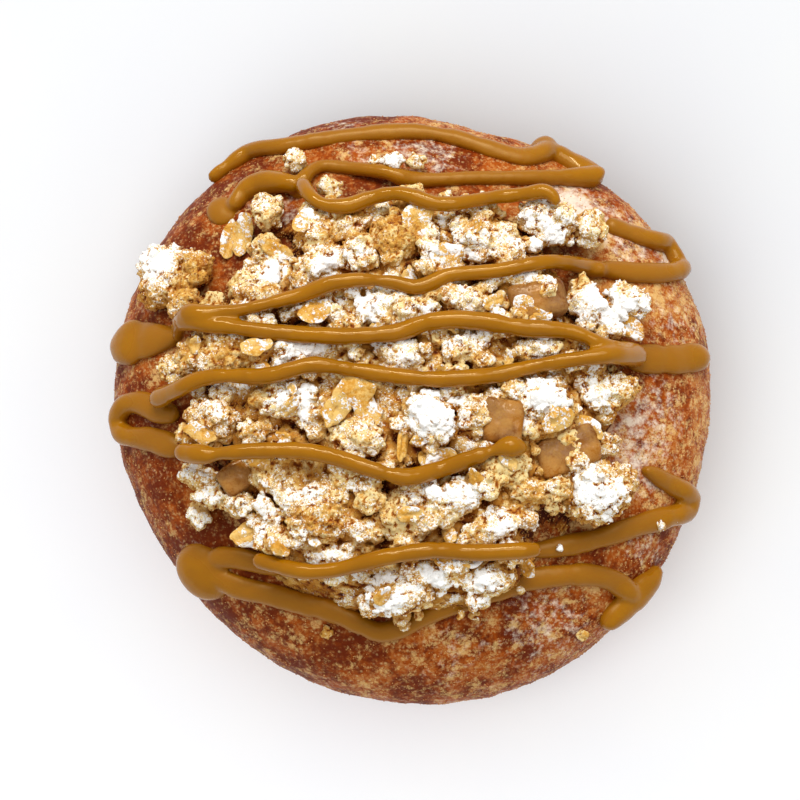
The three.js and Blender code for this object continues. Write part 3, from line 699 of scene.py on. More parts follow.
# Lumps: [x, y, half length, half width, top above the dough, toast, icing]
LUMPS = [
    (30, -1.2, 5, 3.8, 8, 0.35, 0.68), (10, -5.4, 4, 4.6, 9, 0.55, 0.55), (-15, 24.4, 3.6, 4, 8.4, 0.55, 0.5),
    (-15, 19.2, 5, 2.4, 8, 0.3, 0.85), (-23.8, 29.4, 2.9, 3.6, 7, 0.2, 0.5),
    (-25.8, 16.4, 5, 2.8, 7.6, 0.15, 0.5), (-38, 2.9, 2.9, 2.7, 6.4, 0.4, 0.5),
    (-34.6, 4.6, 3.6, 3, 7.6, 0.5, 0.4), (-34.9, -7, 3, 2, 6.6, 0.3, 0.5),
    (-8.5, 21, 3.6, 3.8, 8.4, 0.3, 0.75), (10.8, 23, 5.6, 4, 8.2, 0.25, 0.8),
    (-6, 12, 4.6, 2.8, 8.2, 0.25, 0.75), (8.6, 13.2, 4.6, 2.6, 8.4, 0.3, 0.72),
    (27.6, 13, 4.2, 3, 8, 0.3, 0.68), (-33.4, -8.6, 3.6, 2.4, 6.8, 0.5, 0.4),
    (-19.4, -3, 6, 3, 8.4, 0.2, 0.78), (-2, 4.6, 4.8, 2.8, 7.6, 0.25, 0.78),
    (7.4, 5.2, 3.8, 2.4, 7.6, 0.35, 0.66), (19.8, 5.4, 5.4, 2.2, 7.8, 0.35, 0.6),
    (14.2, -13.4, 4.6, 3.4, 9.2, 0.1, 0.12), (-34.4, -14, 3.2, 2.4, 6.4, 0.4, 0.5),
    (6.4, -18.4, 5.4, 3.2, 8.8, 0.25, 0.74), (12.8, -22.6, 6, 3.2, 8.4, 0.3, 0.7),
    (12, -30.4, 5.4, 3.2, 7.2, 0.4, 0.65), (-21.6, -24.8, 4.2, 3, 7.4, 0.4, 0.5),
    (-17, 5.4, 6, 2.4, 7.6, 0.2, 0.78), (-19.3, 39.2, 2.3, 2, 4.4, 0.4, 0.8),
    (-22.8, -14.6, 3.6, 3.2, 7.6, 0.35, 0.6), (28.6, 26.4, 3.6, 3.4, 7.2, 0.3, 0.66),
    (-30.4, 4.6, 6, 3.4, 8.4, 0.62, 0.5), (-9, -9.4, 5.4, 3.6, 9, 0.15, 0.55),
    (-9.8, -14.4, 3.6, 2.6, 8.2, 0.2, 0.5), (25.2, -9, 2.8, 2.2, 7.6, 0.2, 0.5),
    (4.6, -29.6, 4.4, 3.4, 7.4, 0.35, 0.66), (-12, -27.4, 6.4, 2.2, 6.6, 0.3, 0.6),
    (18.4, 16.6, 3, 2.2, 7.4, 0.45, 0.6), (1.6, 12.2, 3.2, 2.2, 7.6, 0.3, 0.7),
    (33, -0.4, 3.4, 3, 6.8, 0.4, 0.6), (15, 21.4, 3.4, 2.8, 7.6, 0.35, 0.7),
    (-13.6, 33, 2.4, 1.8, 5.4, 0.1, 0.5), (15.6, -13.2, 3.2, 2.8, 8.8, 0.05, 0.2),
    (21.6, 15.2, 2.1, 2.3, 9, 0.35, 0.75), (16.8, 10.6, 1.6, 1.2, 8.4, 0.4, 0.5),
    (40.1, -21, 1, 0.9, 2.8, 0.2, 1), (42.8, -19.6, 0.8, 0.7, 2.6, 0.2, 1),
    (23.4, -25.6, 0.6, 0.5, 2.4, 0.2, 1), (-3.2, 38.4, 2.4, 1.4, 3.6, 0.3, 0.9),
    (0.6, 38.6, 1.7, 1.2, 3.2, 0.35, 0.7), (-6.2, 38.8, 1.2, 1, 2.8, 0.4, 0.5),
    (-1.4, -37.2, 1, 1.2, 3, 0.3, 0.9), (27.6, -38.6, 1, 0.9, 1.4, 0.3, 0.1),
    (-13.4, -38.6, 1.1, 0.8, 1.2, 0.3, 0.1),
]
# Spots where the dough shows through the heap: [x, y, radius]
GAPS = [
    (-30.4, -22, 2.7), (-30.6, 22.6, 3.6), (-19.4, 29.6, 3), (21.6, -23.4, 4), (-25, -29.6, 5),
    (-30.4, -10.6, 2.2), (-21, 24.4, 2), (26.5, 32.5, 4), (-15.6, -34.4, 4), (22, -27.6, 3.4),
    (19.5, -31, 2.6),
]
print(len(LUMPS), "lumps and", len(GAPS), "gaps")

# %% [markdown]
# Each lump or crumb goes to the form of its quarter. After the remesh nothing tells the crumbs apart any
# more, so every vertex takes the toast and the icing of the crumb whose middle is nearest, measured in that
# crumb's own size.

# %% Grow the smaller lumps and crumbs
CRUMBS = 540
CRUMB_VOXEL = 1.1 * VOXEL
CRUMB_SEED = 31
BED_RISE = 4.8  # height of the bed of fine crumbs above the dough


def quarter(x, y):
    side = "left" if x < HEAP_CENTRE[0] else "right"
    return ("back_" if y > HEAP_CENTRE[1] else "front_") + side


def scattered_crumbs():
    """Small crumbs all over the heap, in the same columns as the lumps."""
    random = np.random.default_rng(CRUMB_SEED)
    for _ in range(CRUMBS):
        angle = random.uniform(0, math.tau)
        radius = 0.97 * HEAP_RADIUS * math.sqrt(random.random())
        size = 0.75 + 2 * random.random() ** 1.9
        x, y = HEAP_CENTRE[0] + radius * math.cos(angle), HEAP_CENTRE[1] + radius * math.sin(angle)
        if any(math.hypot(x - gap_x, y - gap_y) < gap for gap_x, gap_y, gap in GAPS):
            continue
        bed_rise = BED_RISE * math.sqrt(1 - (radius / HEAP_RADIUS) ** 8)
        top = bed_rise + size * random.uniform(0.9, 1.7)
        half_width = size * random.uniform(0.65, 1)
        yield x, y, size, half_width, top, random.uniform(0.1, 0.75), random.uniform(0.3, 0.75)


rows = {}
for row in [*LUMPS, *scattered_crumbs()]:
    rows.setdefault(quarter(*row[:2]), []).append(row)

crumb_pieces = {}
for index, (name, members) in enumerate(sorted(rows.items())):
    form = bmesh.new()
    for number, (x, y, half_length, half_width, top, _, _) in enumerate(members):
        half_height = min(top / 2, 0.9 * half_width)
        middle = (x, y, float(dough_top(x, y)) + top - half_height)
        turn = 20 * math.sin(7 * x)
        grow_crumb(form, middle, (half_length, half_width, half_height), turn, 1000 * index + number)
    crumbs = settle(form, f"crumbs_{name}")
    fuse(crumbs, CRUMB_VOXEL)
    crust(crumbs, CRUST_SEED + 40 + index)
    points = points_of(crumbs)
    apart = [np.hypot((points[:, 0] - row[0]) / row[2], (points[:, 1] - row[1]) / row[3]) for row in members]
    owner = np.argmin(np.stack(apart), axis=0)
    store(crumbs, "toast", np.array([row[5] for row in members])[owner])
    store(crumbs, "icing", np.array([row[6] for row in members])[owner])
    crumb_pieces[name] = crumbs
print("crumb faces:", {name: len(piece.data.polygons) for name, piece in crumb_pieces.items()})

# %% [markdown]
# Under everything lies a low bed of fine crumbs. It closes the heap from below, so that no gap between two
# clusters looks into nothing. It starts as an icosphere that is flattened onto the dough's own curve.

# %% Lay the bed of fine crumbs
BED_MARGIN = 3.2  # how far inside the heap's edge the bed ends
BED_BOTTOM = -2  # below the dough's skin

form = bmesh.new()
bmesh.ops.create_icosphere(form, subdivisions=7, radius=1)
bed = settle(form, "crumble_bed")
ball = points_of(bed)
flat = np.hypot(ball[:, 0], ball[:, 1])
angle = np.arctan2(ball[:, 1], ball[:, 0])
rim = np.stack([20 * np.cos(angle), 20 * np.sin(angle), np.zeros(len(ball))], axis=1)
bed_radius = (HEAP_RADIUS - BED_MARGIN + 2.6 * soft_noise(rim, 9, 12)) * flat**0.85
x, y = HEAP_CENTRE[0] + bed_radius * np.cos(angle), HEAP_CENTRE[1] + bed_radius * np.sin(angle)
spread = np.stack([x, y, 0 * x], axis=1)
crumbly = BED_RISE + 0.9 * soft_noise(spread, 3.2, 13) + 1.7 * (pebbles(spread, 2.6, 16)[0] - 0.5)
open_spots = sum(np.exp(-(((x - gap_x) ** 2 + (y - gap_y) ** 2) / gap**2) ** 2) for gap_x, gap_y, gap in GAPS)
crumbly = crumbly * (1 - open_spots) - 0.8 * open_spots
upper = crumbly * np.clip(1 - flat**8, 0, 1) ** 0.5
height = np.where(ball[:, 2] > 0, upper, BED_BOTTOM)
move_points(bed, np.stack([x, y, dough_top(x, y) + height], axis=1))
crust(bed, CRUST_SEED + 50, 1.6)
store(bed, "toast", 0.45 + 0.35 * soft_noise(points_of(bed), 4, 14))
store(bed, "icing", 0.42 + 0.3 * soft_noise(points_of(bed), 5, 15))
print("bed reaches", round(float(points_of(bed)[:, 2].max()), 1), "mm")

# %% [markdown]
# ## Rolled oats
# Each oat flake lies on what is below it, so a height map of the crumbs, seen from above, comes first. The
# map keeps the highest point in each small square of the table. It can be spread, so that each square takes
# the height of its highest neighbour, and blurred. The icing sugar and the caramel need such maps as well.

# %% Measure the heap from above
CELL = 0.4
GRID = 260  # cells along each side of the map


def grid_index(x, y):
    column = np.clip(((x + CELL * GRID / 2) / CELL).astype(int), 0, GRID - 1)
    line = np.clip(((y + CELL * GRID / 2) / CELL).astype(int), 0, GRID - 1)
    return line, column


def neighbours_highest(heights, steps):
    for _ in range(steps):
        for axis in (0, 1):
            heights = np.maximum(heights, np.maximum(np.roll(heights, 1, axis), np.roll(heights, -1, axis)))
    return heights


def blurred(heights, steps):
    for _ in range(steps):
        for axis in (0, 1):
            heights = (np.roll(heights, 1, axis) + 2 * heights + np.roll(heights, -1, axis)) / 4
    return heights


def height_map(pieces):
    steps = (np.arange(GRID) + 0.5) * CELL - CELL * GRID / 2
    columns, lines = np.meshgrid(steps, steps)
    heights = dough_top(columns, lines)
    for piece in pieces:
        points = points_of(piece)
        np.maximum.at(heights, grid_index(points[:, 0], points[:, 1]), points[:, 2])
    return heights


heap = [bed, *crumb_pieces.values(), *clusters.values()]
heap_heights = height_map(heap)
print("top of the heap:", round(float(heap_heights.max()), 1), "mm")

# %% [markdown]
# Oat flakes are thin, bent and split by one crease. A flattened icosphere with a groove pressed along it
# gives both faces and the rim at once. The large flakes that show in the photograph have their own rows, and
# the small broken ones are strewn at random.

# %% Cut the oat flakes
# Large flakes: [x, y, half length, half width, turn, lean along, lean across, lift]
FLAKES = [
    (-30, 25.4, 3.6, 1.6, 76, 6, 24, 0.3), (-27.8, 25.8, 3.8, 1.8, 80, -4, -20, 0.5),
    (-21.9, 22, 2.9, 1.4, -28, 8, 14, 0.3), (-15.6, 11, 3, 1.9, 30, 12, -16, 0.4),
    (-9.6, -2.2, 3.6, 2.6, 20, 6, 18, 0.6), (-7.2, -4.6, 3, 2.3, -50, 14, -10, 0.4),
    (-12, -5, 2.8, 2, 60, -10, 14, 0.3), (5.4, 20.4, 3, 2, 15, 6, 16, 0.5),
    (-1.6, -9.4, 3.6, 1.1, 80, 8, 30, 0.4), (-24.6, 5.2, 2.5, 1.5, 10, 6, -18, 0.4),
    (-17.4, 26, 2.4, 1.5, 60, 20, 12, 0.3), (0.6, 26.6, 3, 2.2, 40, 10, 12, 0.4),
    (18.6, 11.6, 3.2, 1.8, -20, 12, 10, 0.3), (27.2, -7.2, 3.4, 1.8, -30, -10, 20, 0.3),
    (22.6, -6.4, 3, 1.8, 30, 10, 20, 0.2), (-25.6, -23.6, 3.2, 2, 24, 8, 12, 0.3),
    (-33.4, -7.8, 2.8, 1.7, -24, 6, -10, 0.3), (4.4, -12.4, 2.8, 2, 20, 10, 14, 0.3),
    (34.6, 9.6, 2.8, 1.7, -30, 10, 16, 0.3),
]
BROKEN_FLAKES = 34
FLAKE_THICKNESS = 0.28  # half of it
CREASE_WIDTH = 0.26
FLAKE_SEED, STREWN_SEED = 500, 77


def cut_flake(form, x, y, half_length, half_width, turn, along, across, lift, seed):
    """One bent, creased flake with a ragged rim, laid on the height map."""
    made = bmesh.ops.create_icosphere(form, subdivisions=4, radius=1)["verts"]
    ball = np.array([vert.co for vert in made])
    swell = 1 + 0.16 * soft_noise(ball * (1.6, 1.6, 0.4), 0.7, seed)
    flake_x, flake_y = ball[:, 0] * half_length * swell, ball[:, 1] * half_width * swell
    crease = np.exp(-((flake_y / CREASE_WIDTH) ** 2)) * (1 - ball[:, 0] ** 2)
    bend = 0.05 * flake_x**2 - 0.09 * flake_y**2
    flat_place = np.stack([flake_x, flake_y, 0 * flake_x], axis=1)
    ripple = 0.22 * soft_noise(flat_place, 1.2, seed + 1) + 0.08 * soft_noise(flat_place, 0.45, seed + 2)
    flake_z = FLAKE_THICKNESS * ball[:, 2] - 0.26 * crease * np.sign(ball[:, 2]).clip(0) + bend + ripple
    spot = grid_index(np.array([x]), np.array([y]))
    ground = float(flake_ground[spot][0])
    stand = Matrix.Translation((x, y, ground + lift)) @ Matrix.Rotation(math.radians(turn), 4, "Z")
    stand = stand @ Matrix.Rotation(math.radians(along), 4, "Y") @ Matrix.Rotation(math.radians(across), 4, "X")
    for vert, place_x, place_y, place_z in zip(made, flake_x, flake_y, flake_z):
        vert.co = stand @ Vector((place_x, place_y, place_z))


flake_ground = blurred(neighbours_highest(heap_heights, 1), 3)
form = bmesh.new()
for index, row in enumerate(FLAKES):
    cut_flake(form, *row, FLAKE_SEED + index)
random = np.random.default_rng(STREWN_SEED)
for index in range(BROKEN_FLAKES):
    angle, radius = random.uniform(0, math.tau), 0.94 * HEAP_RADIUS * math.sqrt(random.random())
    x, y = HEAP_CENTRE[0] + radius * math.cos(angle), HEAP_CENTRE[1] + radius * math.sin(angle)
    size = random.uniform(1.1, 2.2)
    lean = random.uniform(-30, 30, 2)
    cut_flake(form, x, y, size, 0.62 * size, random.uniform(0, 180), *lean, 0.1, FLAKE_SEED + 100 + index)
flakes = settle(form, "oat_flakes")
print(len(FLAKES) + BROKEN_FLAKES, "flakes")

# %% [markdown]
# ## Where the icing sugar lands
# Sugar is sieved from straight above. It settles on faces that look up, stays off steep sides, and can't
# reach what lies under an overhang or deep in a gap. The height map answers the last two: a point well below
# the highest point over it is sheltered, and one well below the blurred map lies in a hollow. A few patches
# that were dusted more, or left bare, are listed with their place.

# %% Dust the crumbs
BLUR_STEPS = 60
DUST_SEED = 700
# [x, y, radius, amount], with a negative amount where the crumbs are bare
DUSTED = [
    (-41.6, 22, 3.4, 0.9), (-36.4, 24.6, 2, 0.5), (-34.6, 17, 3.6, -0.5), (-21.8, 18.2, 1.8, 1.2),
    (-27, 20, 1.8, 0.3), (-13.5, 18.9, 3.4, 0.4), (-18.1, 34.8, 1.6, 0.4), (6, 22.4, 3.6, 0.3),
    (13.8, 24.8, 3.4, 0.35), (23.3, 24.3, 4, 0.35), (18.5, 20.8, 3, 0.2), (29.5, 14.9, 2.4, 0.8),
    (33.9, 11.5, 3.4, 0.9), (-8.2, 12.8, 3, 0.3), (1.3, 12, 2.4, 0.2), (9.9, 12.8, 3, 0.2),
    (-1.9, 4.8, 3, 0.3), (-17.6, 5.6, 3.6, 0.35), (-19.2, -2.3, 3.4, 0.35), (3.1, -4.4, 4, 0.7),
    (20.4, -2.3, 3.4, 0.5), (31.4, 0.1, 2.4, 0.3), (28.3, -17.2, 4.2, 0.5), (9.1, -17.5, 3.2, 0.35),
    (2.8, -17.2, 2.6, 0.3), (17, -23.9, 3, 0.4), (-16, -19.1, 3, 0.3), (-4.2, -34, 4, 0.5),
    (4.4, -31, 3.4, 0.4), (13, -31, 3, 0.3), (-31.7, -3.9, 3, 0.15), (-1.9, 25.3, 3, -0.5),
    (-27, 4.8, 2.6, -0.4), (-34.9, 5.6, 2.4, -0.3), (-9, -2.6, 3, -0.5), (13.8, -13.5, 3.2, -0.6),
    (24.5, -9.5, 2.6, -0.2), (-5, -21.5, 3.4, -0.15), (18.2, 11.2, 2, -0.3), (-12.9, -15.9, 2.4, -0.3),
    (-15.7, 10.9, 2, -0.4), (27.2, -7.1, 2, -0.4), (-32.5, -19.1, 2.6, 0.1), (-32.6, -8, 2.2, -0.4),
]

everything = height_map([*heap, flakes])
overhead = neighbours_highest(everything, 1)
around = blurred(everything, BLUR_STEPS)


def dust(piece, seed):
    """Stores the icing cover and the depth of each vertex of the piece."""
    points, up = points_of(piece), normals_of(piece)[:, 2]
    spots = grid_index(points[:, 0], points[:, 1])
    sheltered = soft_step(0.6, 2, overhead[spots] - points[:, 2])
    hollow = soft_step(0.3, 4, around[spots] - points[:, 2])
    cover = 0.8 * stored(piece, "icing") - 0.21
    cover = cover + 0.5 * (soft_step(0.05, 0.85, up) - 0.75) + 0.34 * soft_noise(points, 3.4, seed)
    cover += patch_cover(points, DUSTED) - 0.3 * stored(piece, "pit") - 0.7 * hollow
    cover *= 1 - sheltered
    store(piece, "cover", cover)
    # Depth is used only to darken the finish, as painted shade in hollows and under overhangs.
    store(piece, "depth", 0.75 * hollow + 0.25 * sheltered)
    raised = 0.16 * soft_step(0.5, 0.9, cover) * (0.6 + 0.6 * soft_noise(points, 0.7, seed + 1))
    move_points(piece, points + normals_of(piece) * raised[:, None])
    return cover


covers = [dust(piece, DUST_SEED + index).clip(0, 1).mean() for index, piece in enumerate(heap)]
print("mean icing cover of each piece:", np.round(covers, 2))

# %% [markdown]
# The crumble's finish mixes cream, gold and brown through the baked tone group, driven by the toast stored on
# each crumb. Pits between the grains, hollows and points under an overhang are painted a dark warm brown as
# painted shade, together with small burnt spots of real colour. The icing dust lies over that, and in the same
# deep places it is painted tan as painted shade.

# %% Mix the crumble's finish
crumble_material, recipe, shader = new_material("baked_crumble")
place = recipe.place()
tone = recipe.times(recipe.maths("SUBTRACT", recipe.attribute("grain_tone"), 0.5), 0.5)
toast = recipe.plus(recipe.attribute("toast"), tone)
baked = use_group(recipe, baked_tone, Place=place, Toast=toast, Pale=paint(232, 208, 146),
                  Golden=paint(204, 152, 66), Brown=paint(164, 92, 16))["Colour"]
burnt = recipe.ramp(recipe.noise(place, 0.7, 4.0, 0.7), 0.56, 0.76)
# Painted shade: pits, hollows and overhangs darken the colour, and the burnt spots add a real brown.
pits = recipe.times(recipe.attribute("pit"), 0.8)
shade = recipe.plus(pits, recipe.attribute("depth"), recipe.times(burnt, 0.4))
dusting = use_group(recipe, icing_dust, Place=place, Cover=recipe.attribute("cover"), Edge=0.12)
baked = recipe.over(baked, dusting["Haze"], 0.6, paint(236, 217, 170))
# These browns are painted shade in the deep places and the colour of the burnt spots.
for low, high, shade_and_burn_brown in [(0.05, 0.5, (190, 126, 40)), (0.35, 0.8, (136, 66, 8)), (0.65, 1.15, (72, 22, 2))]:
    baked = recipe.blend(recipe.ramp(shade, low, high), baked, paint(*shade_and_burn_brown))
white = recipe.blend(recipe.ramp(dusting["Height"], 0.1, 0.75), paint(246, 226, 188), paint(255, 254, 250))
# Painted shade: the icing turns tan in the same deep places.
white = recipe.blend(recipe.ramp(shade, 0.35, 1.2), white, paint(170, 118, 52))
rough = recipe.noise(place, 0.35, 3.0, 0.75)
dress(
    recipe, shader, recipe.blend(dusting["Mask"], baked, white), recipe.ramp(dusting["Mask"], -2.6, 1.0),
    height=recipe.plus(recipe.times(rough, 0.6), recipe.times(dusting["Height"], 0.4)), strength=0.55,
    depth=0.0004, Specular_IOR_Level=0.2,
)
print("crumble finish has", len(recipe.tree.nodes), "nodes")

# %% [markdown]
# Oats are smoother and yellower than crumbs, with a faint grain, and the same dust lies on them more thinly.

# %% Mix the oats' finish
oat_material, recipe, shader = new_material("toasted_oats")
place = recipe.place()
toast = recipe.ramp(recipe.noise(place, 4), 0.25, 0.75)
baked = use_group(recipe, baked_tone, Place=place, Toast=recipe.times(toast, 0.6),
                  Pale=paint(224, 184, 104), Golden=paint(206, 146, 44), Brown=paint(176, 104, 22))["Colour"]
cover = recipe.plus(recipe.attribute("cover"), recipe.swing(place, 2.2, 2.4))
dusting = use_group(recipe, icing_dust, Place=place, Cover=cover, Edge=0.14)
colour = recipe.over(baked, dusting["Haze"], 0.35, paint(238, 210, 146))
colour = recipe.blend(dusting["Mask"], colour, paint(254, 253, 250))
fibre = recipe.noise(place, 0.35, 3.0, 0.7)
dress(
    recipe, shader, recipe.over(colour, recipe.ramp(fibre, 0.5, 0.7), 0.3, paint(180, 116, 34)),
    recipe.ramp(dusting["Mask"], -1.9, 1.0), height=recipe.plus(fibre, dusting["Height"]), strength=0.6,
    Specular_IOR_Level=0.3,
)

flake_points = points_of(flakes)
flake_cover = 0.12 + 0.35 * (soft_step(0.2, 0.9, normals_of(flakes)[:, 2]) - 0.5)
flake_cover += 0.3 * soft_noise(flake_points, 2, 90) + 0.25 * patch_cover(flake_points, DUSTED)
spots = grid_index(flake_points[:, 0], flake_points[:, 1])
flake_cover *= 1 - soft_step(0.5, 1.6, everything[spots] - flake_points[:, 2])
store(flakes, "cover", flake_cover)
print("oats finish has", len(recipe.tree.nodes), "nodes")

# %% [markdown]
# ## Apple pieces
# Diced apple glazed in syrup shows between the clusters. A cube with soft edges, bent a little by noise, is
# the right form. It starts as a cube that is cut into a grid and then rounded by a high power, which leaves
# flat faces.

# %% Dice the apple
APPLE_CUTS = 31
APPLE_SEED = 160
FLATNESS = 7  # the power that rounds the dice; a higher one gives flatter faces
# [x, y, half length, half width, top above the dough, turn]
APPLE_PIECES = {
    "back": (19.8, 13.4, 4.6, 3.2, 7.4, 12),
    "middle": (14.2, -6.4, 3.2, 3.8, 7.8, -6),
    "right": (24.4, -10.8, 5, 3.2, 7, 20),
    "left": (-27.6, -14.6, 3, 2.4, 6.4, 35),
}

apples = {}
for index, (name, (x, y, half_length, half_width, top, turn)) in enumerate(APPLE_PIECES.items()):
    form = bmesh.new()
    bmesh.ops.create_cube(form, size=2)
    bmesh.ops.subdivide_edges(form, edges=form.edges, cuts=APPLE_CUTS, use_grid_fill=True)
    apple = settle(form, f"apple_{name}")
    ball = points_of(apple)
    ball /= np.linalg.norm(ball, axis=1, keepdims=True)
    swell = (np.abs(ball) ** FLATNESS).sum(axis=1) ** (-1 / FLATNESS)
    seed = APPLE_SEED + index
    swell *= 1 + 0.08 * soft_noise(ball, 0.9, seed) + 0.03 * soft_noise(ball, 0.3, seed + 10)
    block = ball * swell[:, None] * (half_length, half_width, top / 2)
    stand = Matrix.Rotation(math.radians(turn), 3, "Z")
    block = block @ np.array(stand).T + (x, y, float(dough_top(x, y)) + top / 2)
    move_points(apple, block)
    store(apple, "cover", 0.3 + 0.35 * soft_noise(block, 2.4, seed + 20))
    apples[name] = apple

print(len(apples), "apple pieces")

# %% [markdown]
# Apple that was cooked in syrup is brown and glassy, with pale fibres. A little subsurface scattering lets
# light into it. A thin mist of icing sugar takes away the shine in places.

# %% Mix the apple's finish
apple_material, recipe, shader = new_material("glazed_apple")
place = recipe.place()
flesh = recipe.ramp(recipe.noise(place, 4.6, 2.0, 0.5), 0.32, 0.68)
colour = recipe.blend(flesh, paint(102, 48, 0), paint(154, 94, 18))
fibres = recipe.noise(place, 0.7, 3.0, 0.6)
colour = recipe.over(colour, recipe.ramp(fibres, 0.45, 0.75), 0.2, paint(166, 108, 30))
cover = recipe.attribute("cover")
dusting = use_group(recipe, icing_dust, Place=place, Cover=cover, Edge=0.9)
misty = recipe.ramp(recipe.plus(cover, recipe.noise(place, 1.6, 3.0, 0.6)), 0.6, 1.2)
colour = recipe.over(colour, misty, 0.34, paint(190, 142, 76))
dress(
    recipe, shader, recipe.over(colour, dusting["Mask"], 0.2, paint(212, 176, 110)),
    recipe.ramp(dusting["Haze"], -0.7, 1.6), height=fibres, strength=0.15, Specular_Tint=(1, 0.8, 0.5, 1),
    Subsurface_Weight=0.15, Subsurface_Radius=(1, 0.6, 0.2), Subsurface_Scale=0.002,
)
print("apple finish has", len(recipe.tree.nodes), "nodes")

# %% [markdown]
# ## The caramel drizzle
# The drizzle is one thick strand that zigzags over the doughnut. Over the heap it is round, rests on the high
# spots and sags between them. On the dough it spreads flatter and ends in pools. Each run has its own list of
# way-points along the middle of the strand, with half the strand's width at each. They were read off
# the enlarged photograph and turned into millimetres through the camera too.

# %% Lay out the runs
# Strands over the heap: way-points [x, y, half width]
HEAP_RUNS = [
    [(-18.2, 34.1, 1.3), (-16.4, 30.6, 1.25), (-14.3, 29, 1.15), (-11.8, 28.6, 1.3), (-9.5, 29, 1.3),
     (-7.3, 29.9, 1.35), (-4.8, 30.5, 1.3), (-2.2, 30.6, 1.25), (0.3, 29.9, 1.3), (3.2, 28.8, 1.25),
     (6.4, 28.8, 1.25), (10.1, 29.7, 1.2), (14.4, 30.9, 1.2), (18.6, 31.1, 1.25), (21.1, 31.3, 1.25),
     (22.6, 30.4, 1.15), (23.1, 28.8, 0.9)],
    [(32.8, 38.6, 2.1), (28.3, 37.7, 1.8), (24.7, 37.2, 1.5), (17.9, 36.5, 1.3), (9.5, 36, 1.25),
     (3.7, 35.5, 1.3), (-1.1, 35.5, 1.35), (-4.9, 36.6, 1.2), (-8.6, 37.4, 1.2), (-12.2, 38.1, 1.2),
     (-14.9, 38.3, 1.1), (-16.7, 37.2, 1.25), (-17.8, 35.6, 1.4), (-18.2, 34.1, 1.4)],
    [(-18.2, 34.1, 1.4), (-20.8, 35, 1.7), (-23.5, 35.6, 2), (-26, 35.4, 1.95), (-27.9, 34.2, 1.8),
     (-29, 32.6, 1.5), (-30, 31, 1.2)],
    [(-38, 8.4, 0.9), (-37.6, 10, 1.3), (-35.9, 11, 1.9), (-33, 10.7, 1.7), (-30.3, 11.1, 1.3),
     (-27.1, 11.4, 1.1), (-23.9, 12, 1.15), (-17.6, 13.7, 1.25), (-11.3, 15.6, 1.25), (-4.2, 15.8, 1.2),
     (0.9, 15, 1.3), (6, 17, 1.25), (13.9, 17.8, 1.2), (21.1, 19.4, 1.25), (27.3, 20.4, 1.3),
     (29.8, 20.2, 1.35), (31.8, 20.2, 1.2)],
    [(-37.4, 9.8, 1.3), (-35.8, 10.2, 1.7), (-32.7, 9.3, 1.5), (-29.5, 8.8, 1.35), (-25.5, 8.1, 1.35),
     (-21.5, 7.6, 1.4), (-11.3, 6.8, 1.45), (-3.4, 7.4, 1.45), (2.8, 9.2, 1.4), (9.9, 9.4, 1.45),
     (16.9, 8.3, 1.45), (24.8, 7.8, 1.4), (29.6, 5.9, 1.35), (32.2, 5.4, 1.6), (35, 5.4, 2), (37.4, 5.5, 1.5)],
    [(-42, -1.4, 1.5), (-39.3, -0.9, 1.5), (-36.4, -0.3, 1.45), (-33.7, 0.6, 1.3), (-31, 0.9, 1.25),
     (-27.7, 0.8, 1.25), (-22.2, 0.6, 1.35), (-15.9, 2.1, 1.3), (-10.4, 1.7, 1.3), (-3.4, 0.7, 1.35),
     (4.4, 0, 1.35), (12.2, 0.7, 1.3), (20, 2.5, 1.3), (28, 3.6, 1.35), (32.4, 4.4, 1.6), (35.4, 5.2, 1.8),
     (37.4, 5.6, 1.4)],
    [(-37.4, -10.4, 1.3), (-35, -11.2, 1.75), (-32.6, -11.6, 1.7), (-31, -11.6, 1.15), (-29.6, -11.5, 1.15),
     (-27.6, -11.5, 1.35), (-24.5, -11.3, 1.35), (-17.4, -11.3, 1.3), (-11.9, -12.5, 1.35),
     (-6.5, -14.4, 1.35), (-1.1, -15.6, 1.4), (4.3, -14.1, 1.4), (10, -12.2, 1.35), (12.2, -11.5, 0.85),
     (15, -10.8, 1.75), (17.8, -11.2, 1.1)],
    [(-25.2, -27.4, 1.3), (-23.5, -27.9, 1.4), (-19.8, -29.1, 1.4), (-15.8, -29.8, 1.3), (-11.2, -29.4, 1.3),
     (-4.2, -27.8, 1.3), (2.8, -26.8, 1.35), (10.5, -27, 1.35), (16.7, -26.7, 1.35), (20, -26.4, 1.35)],
]
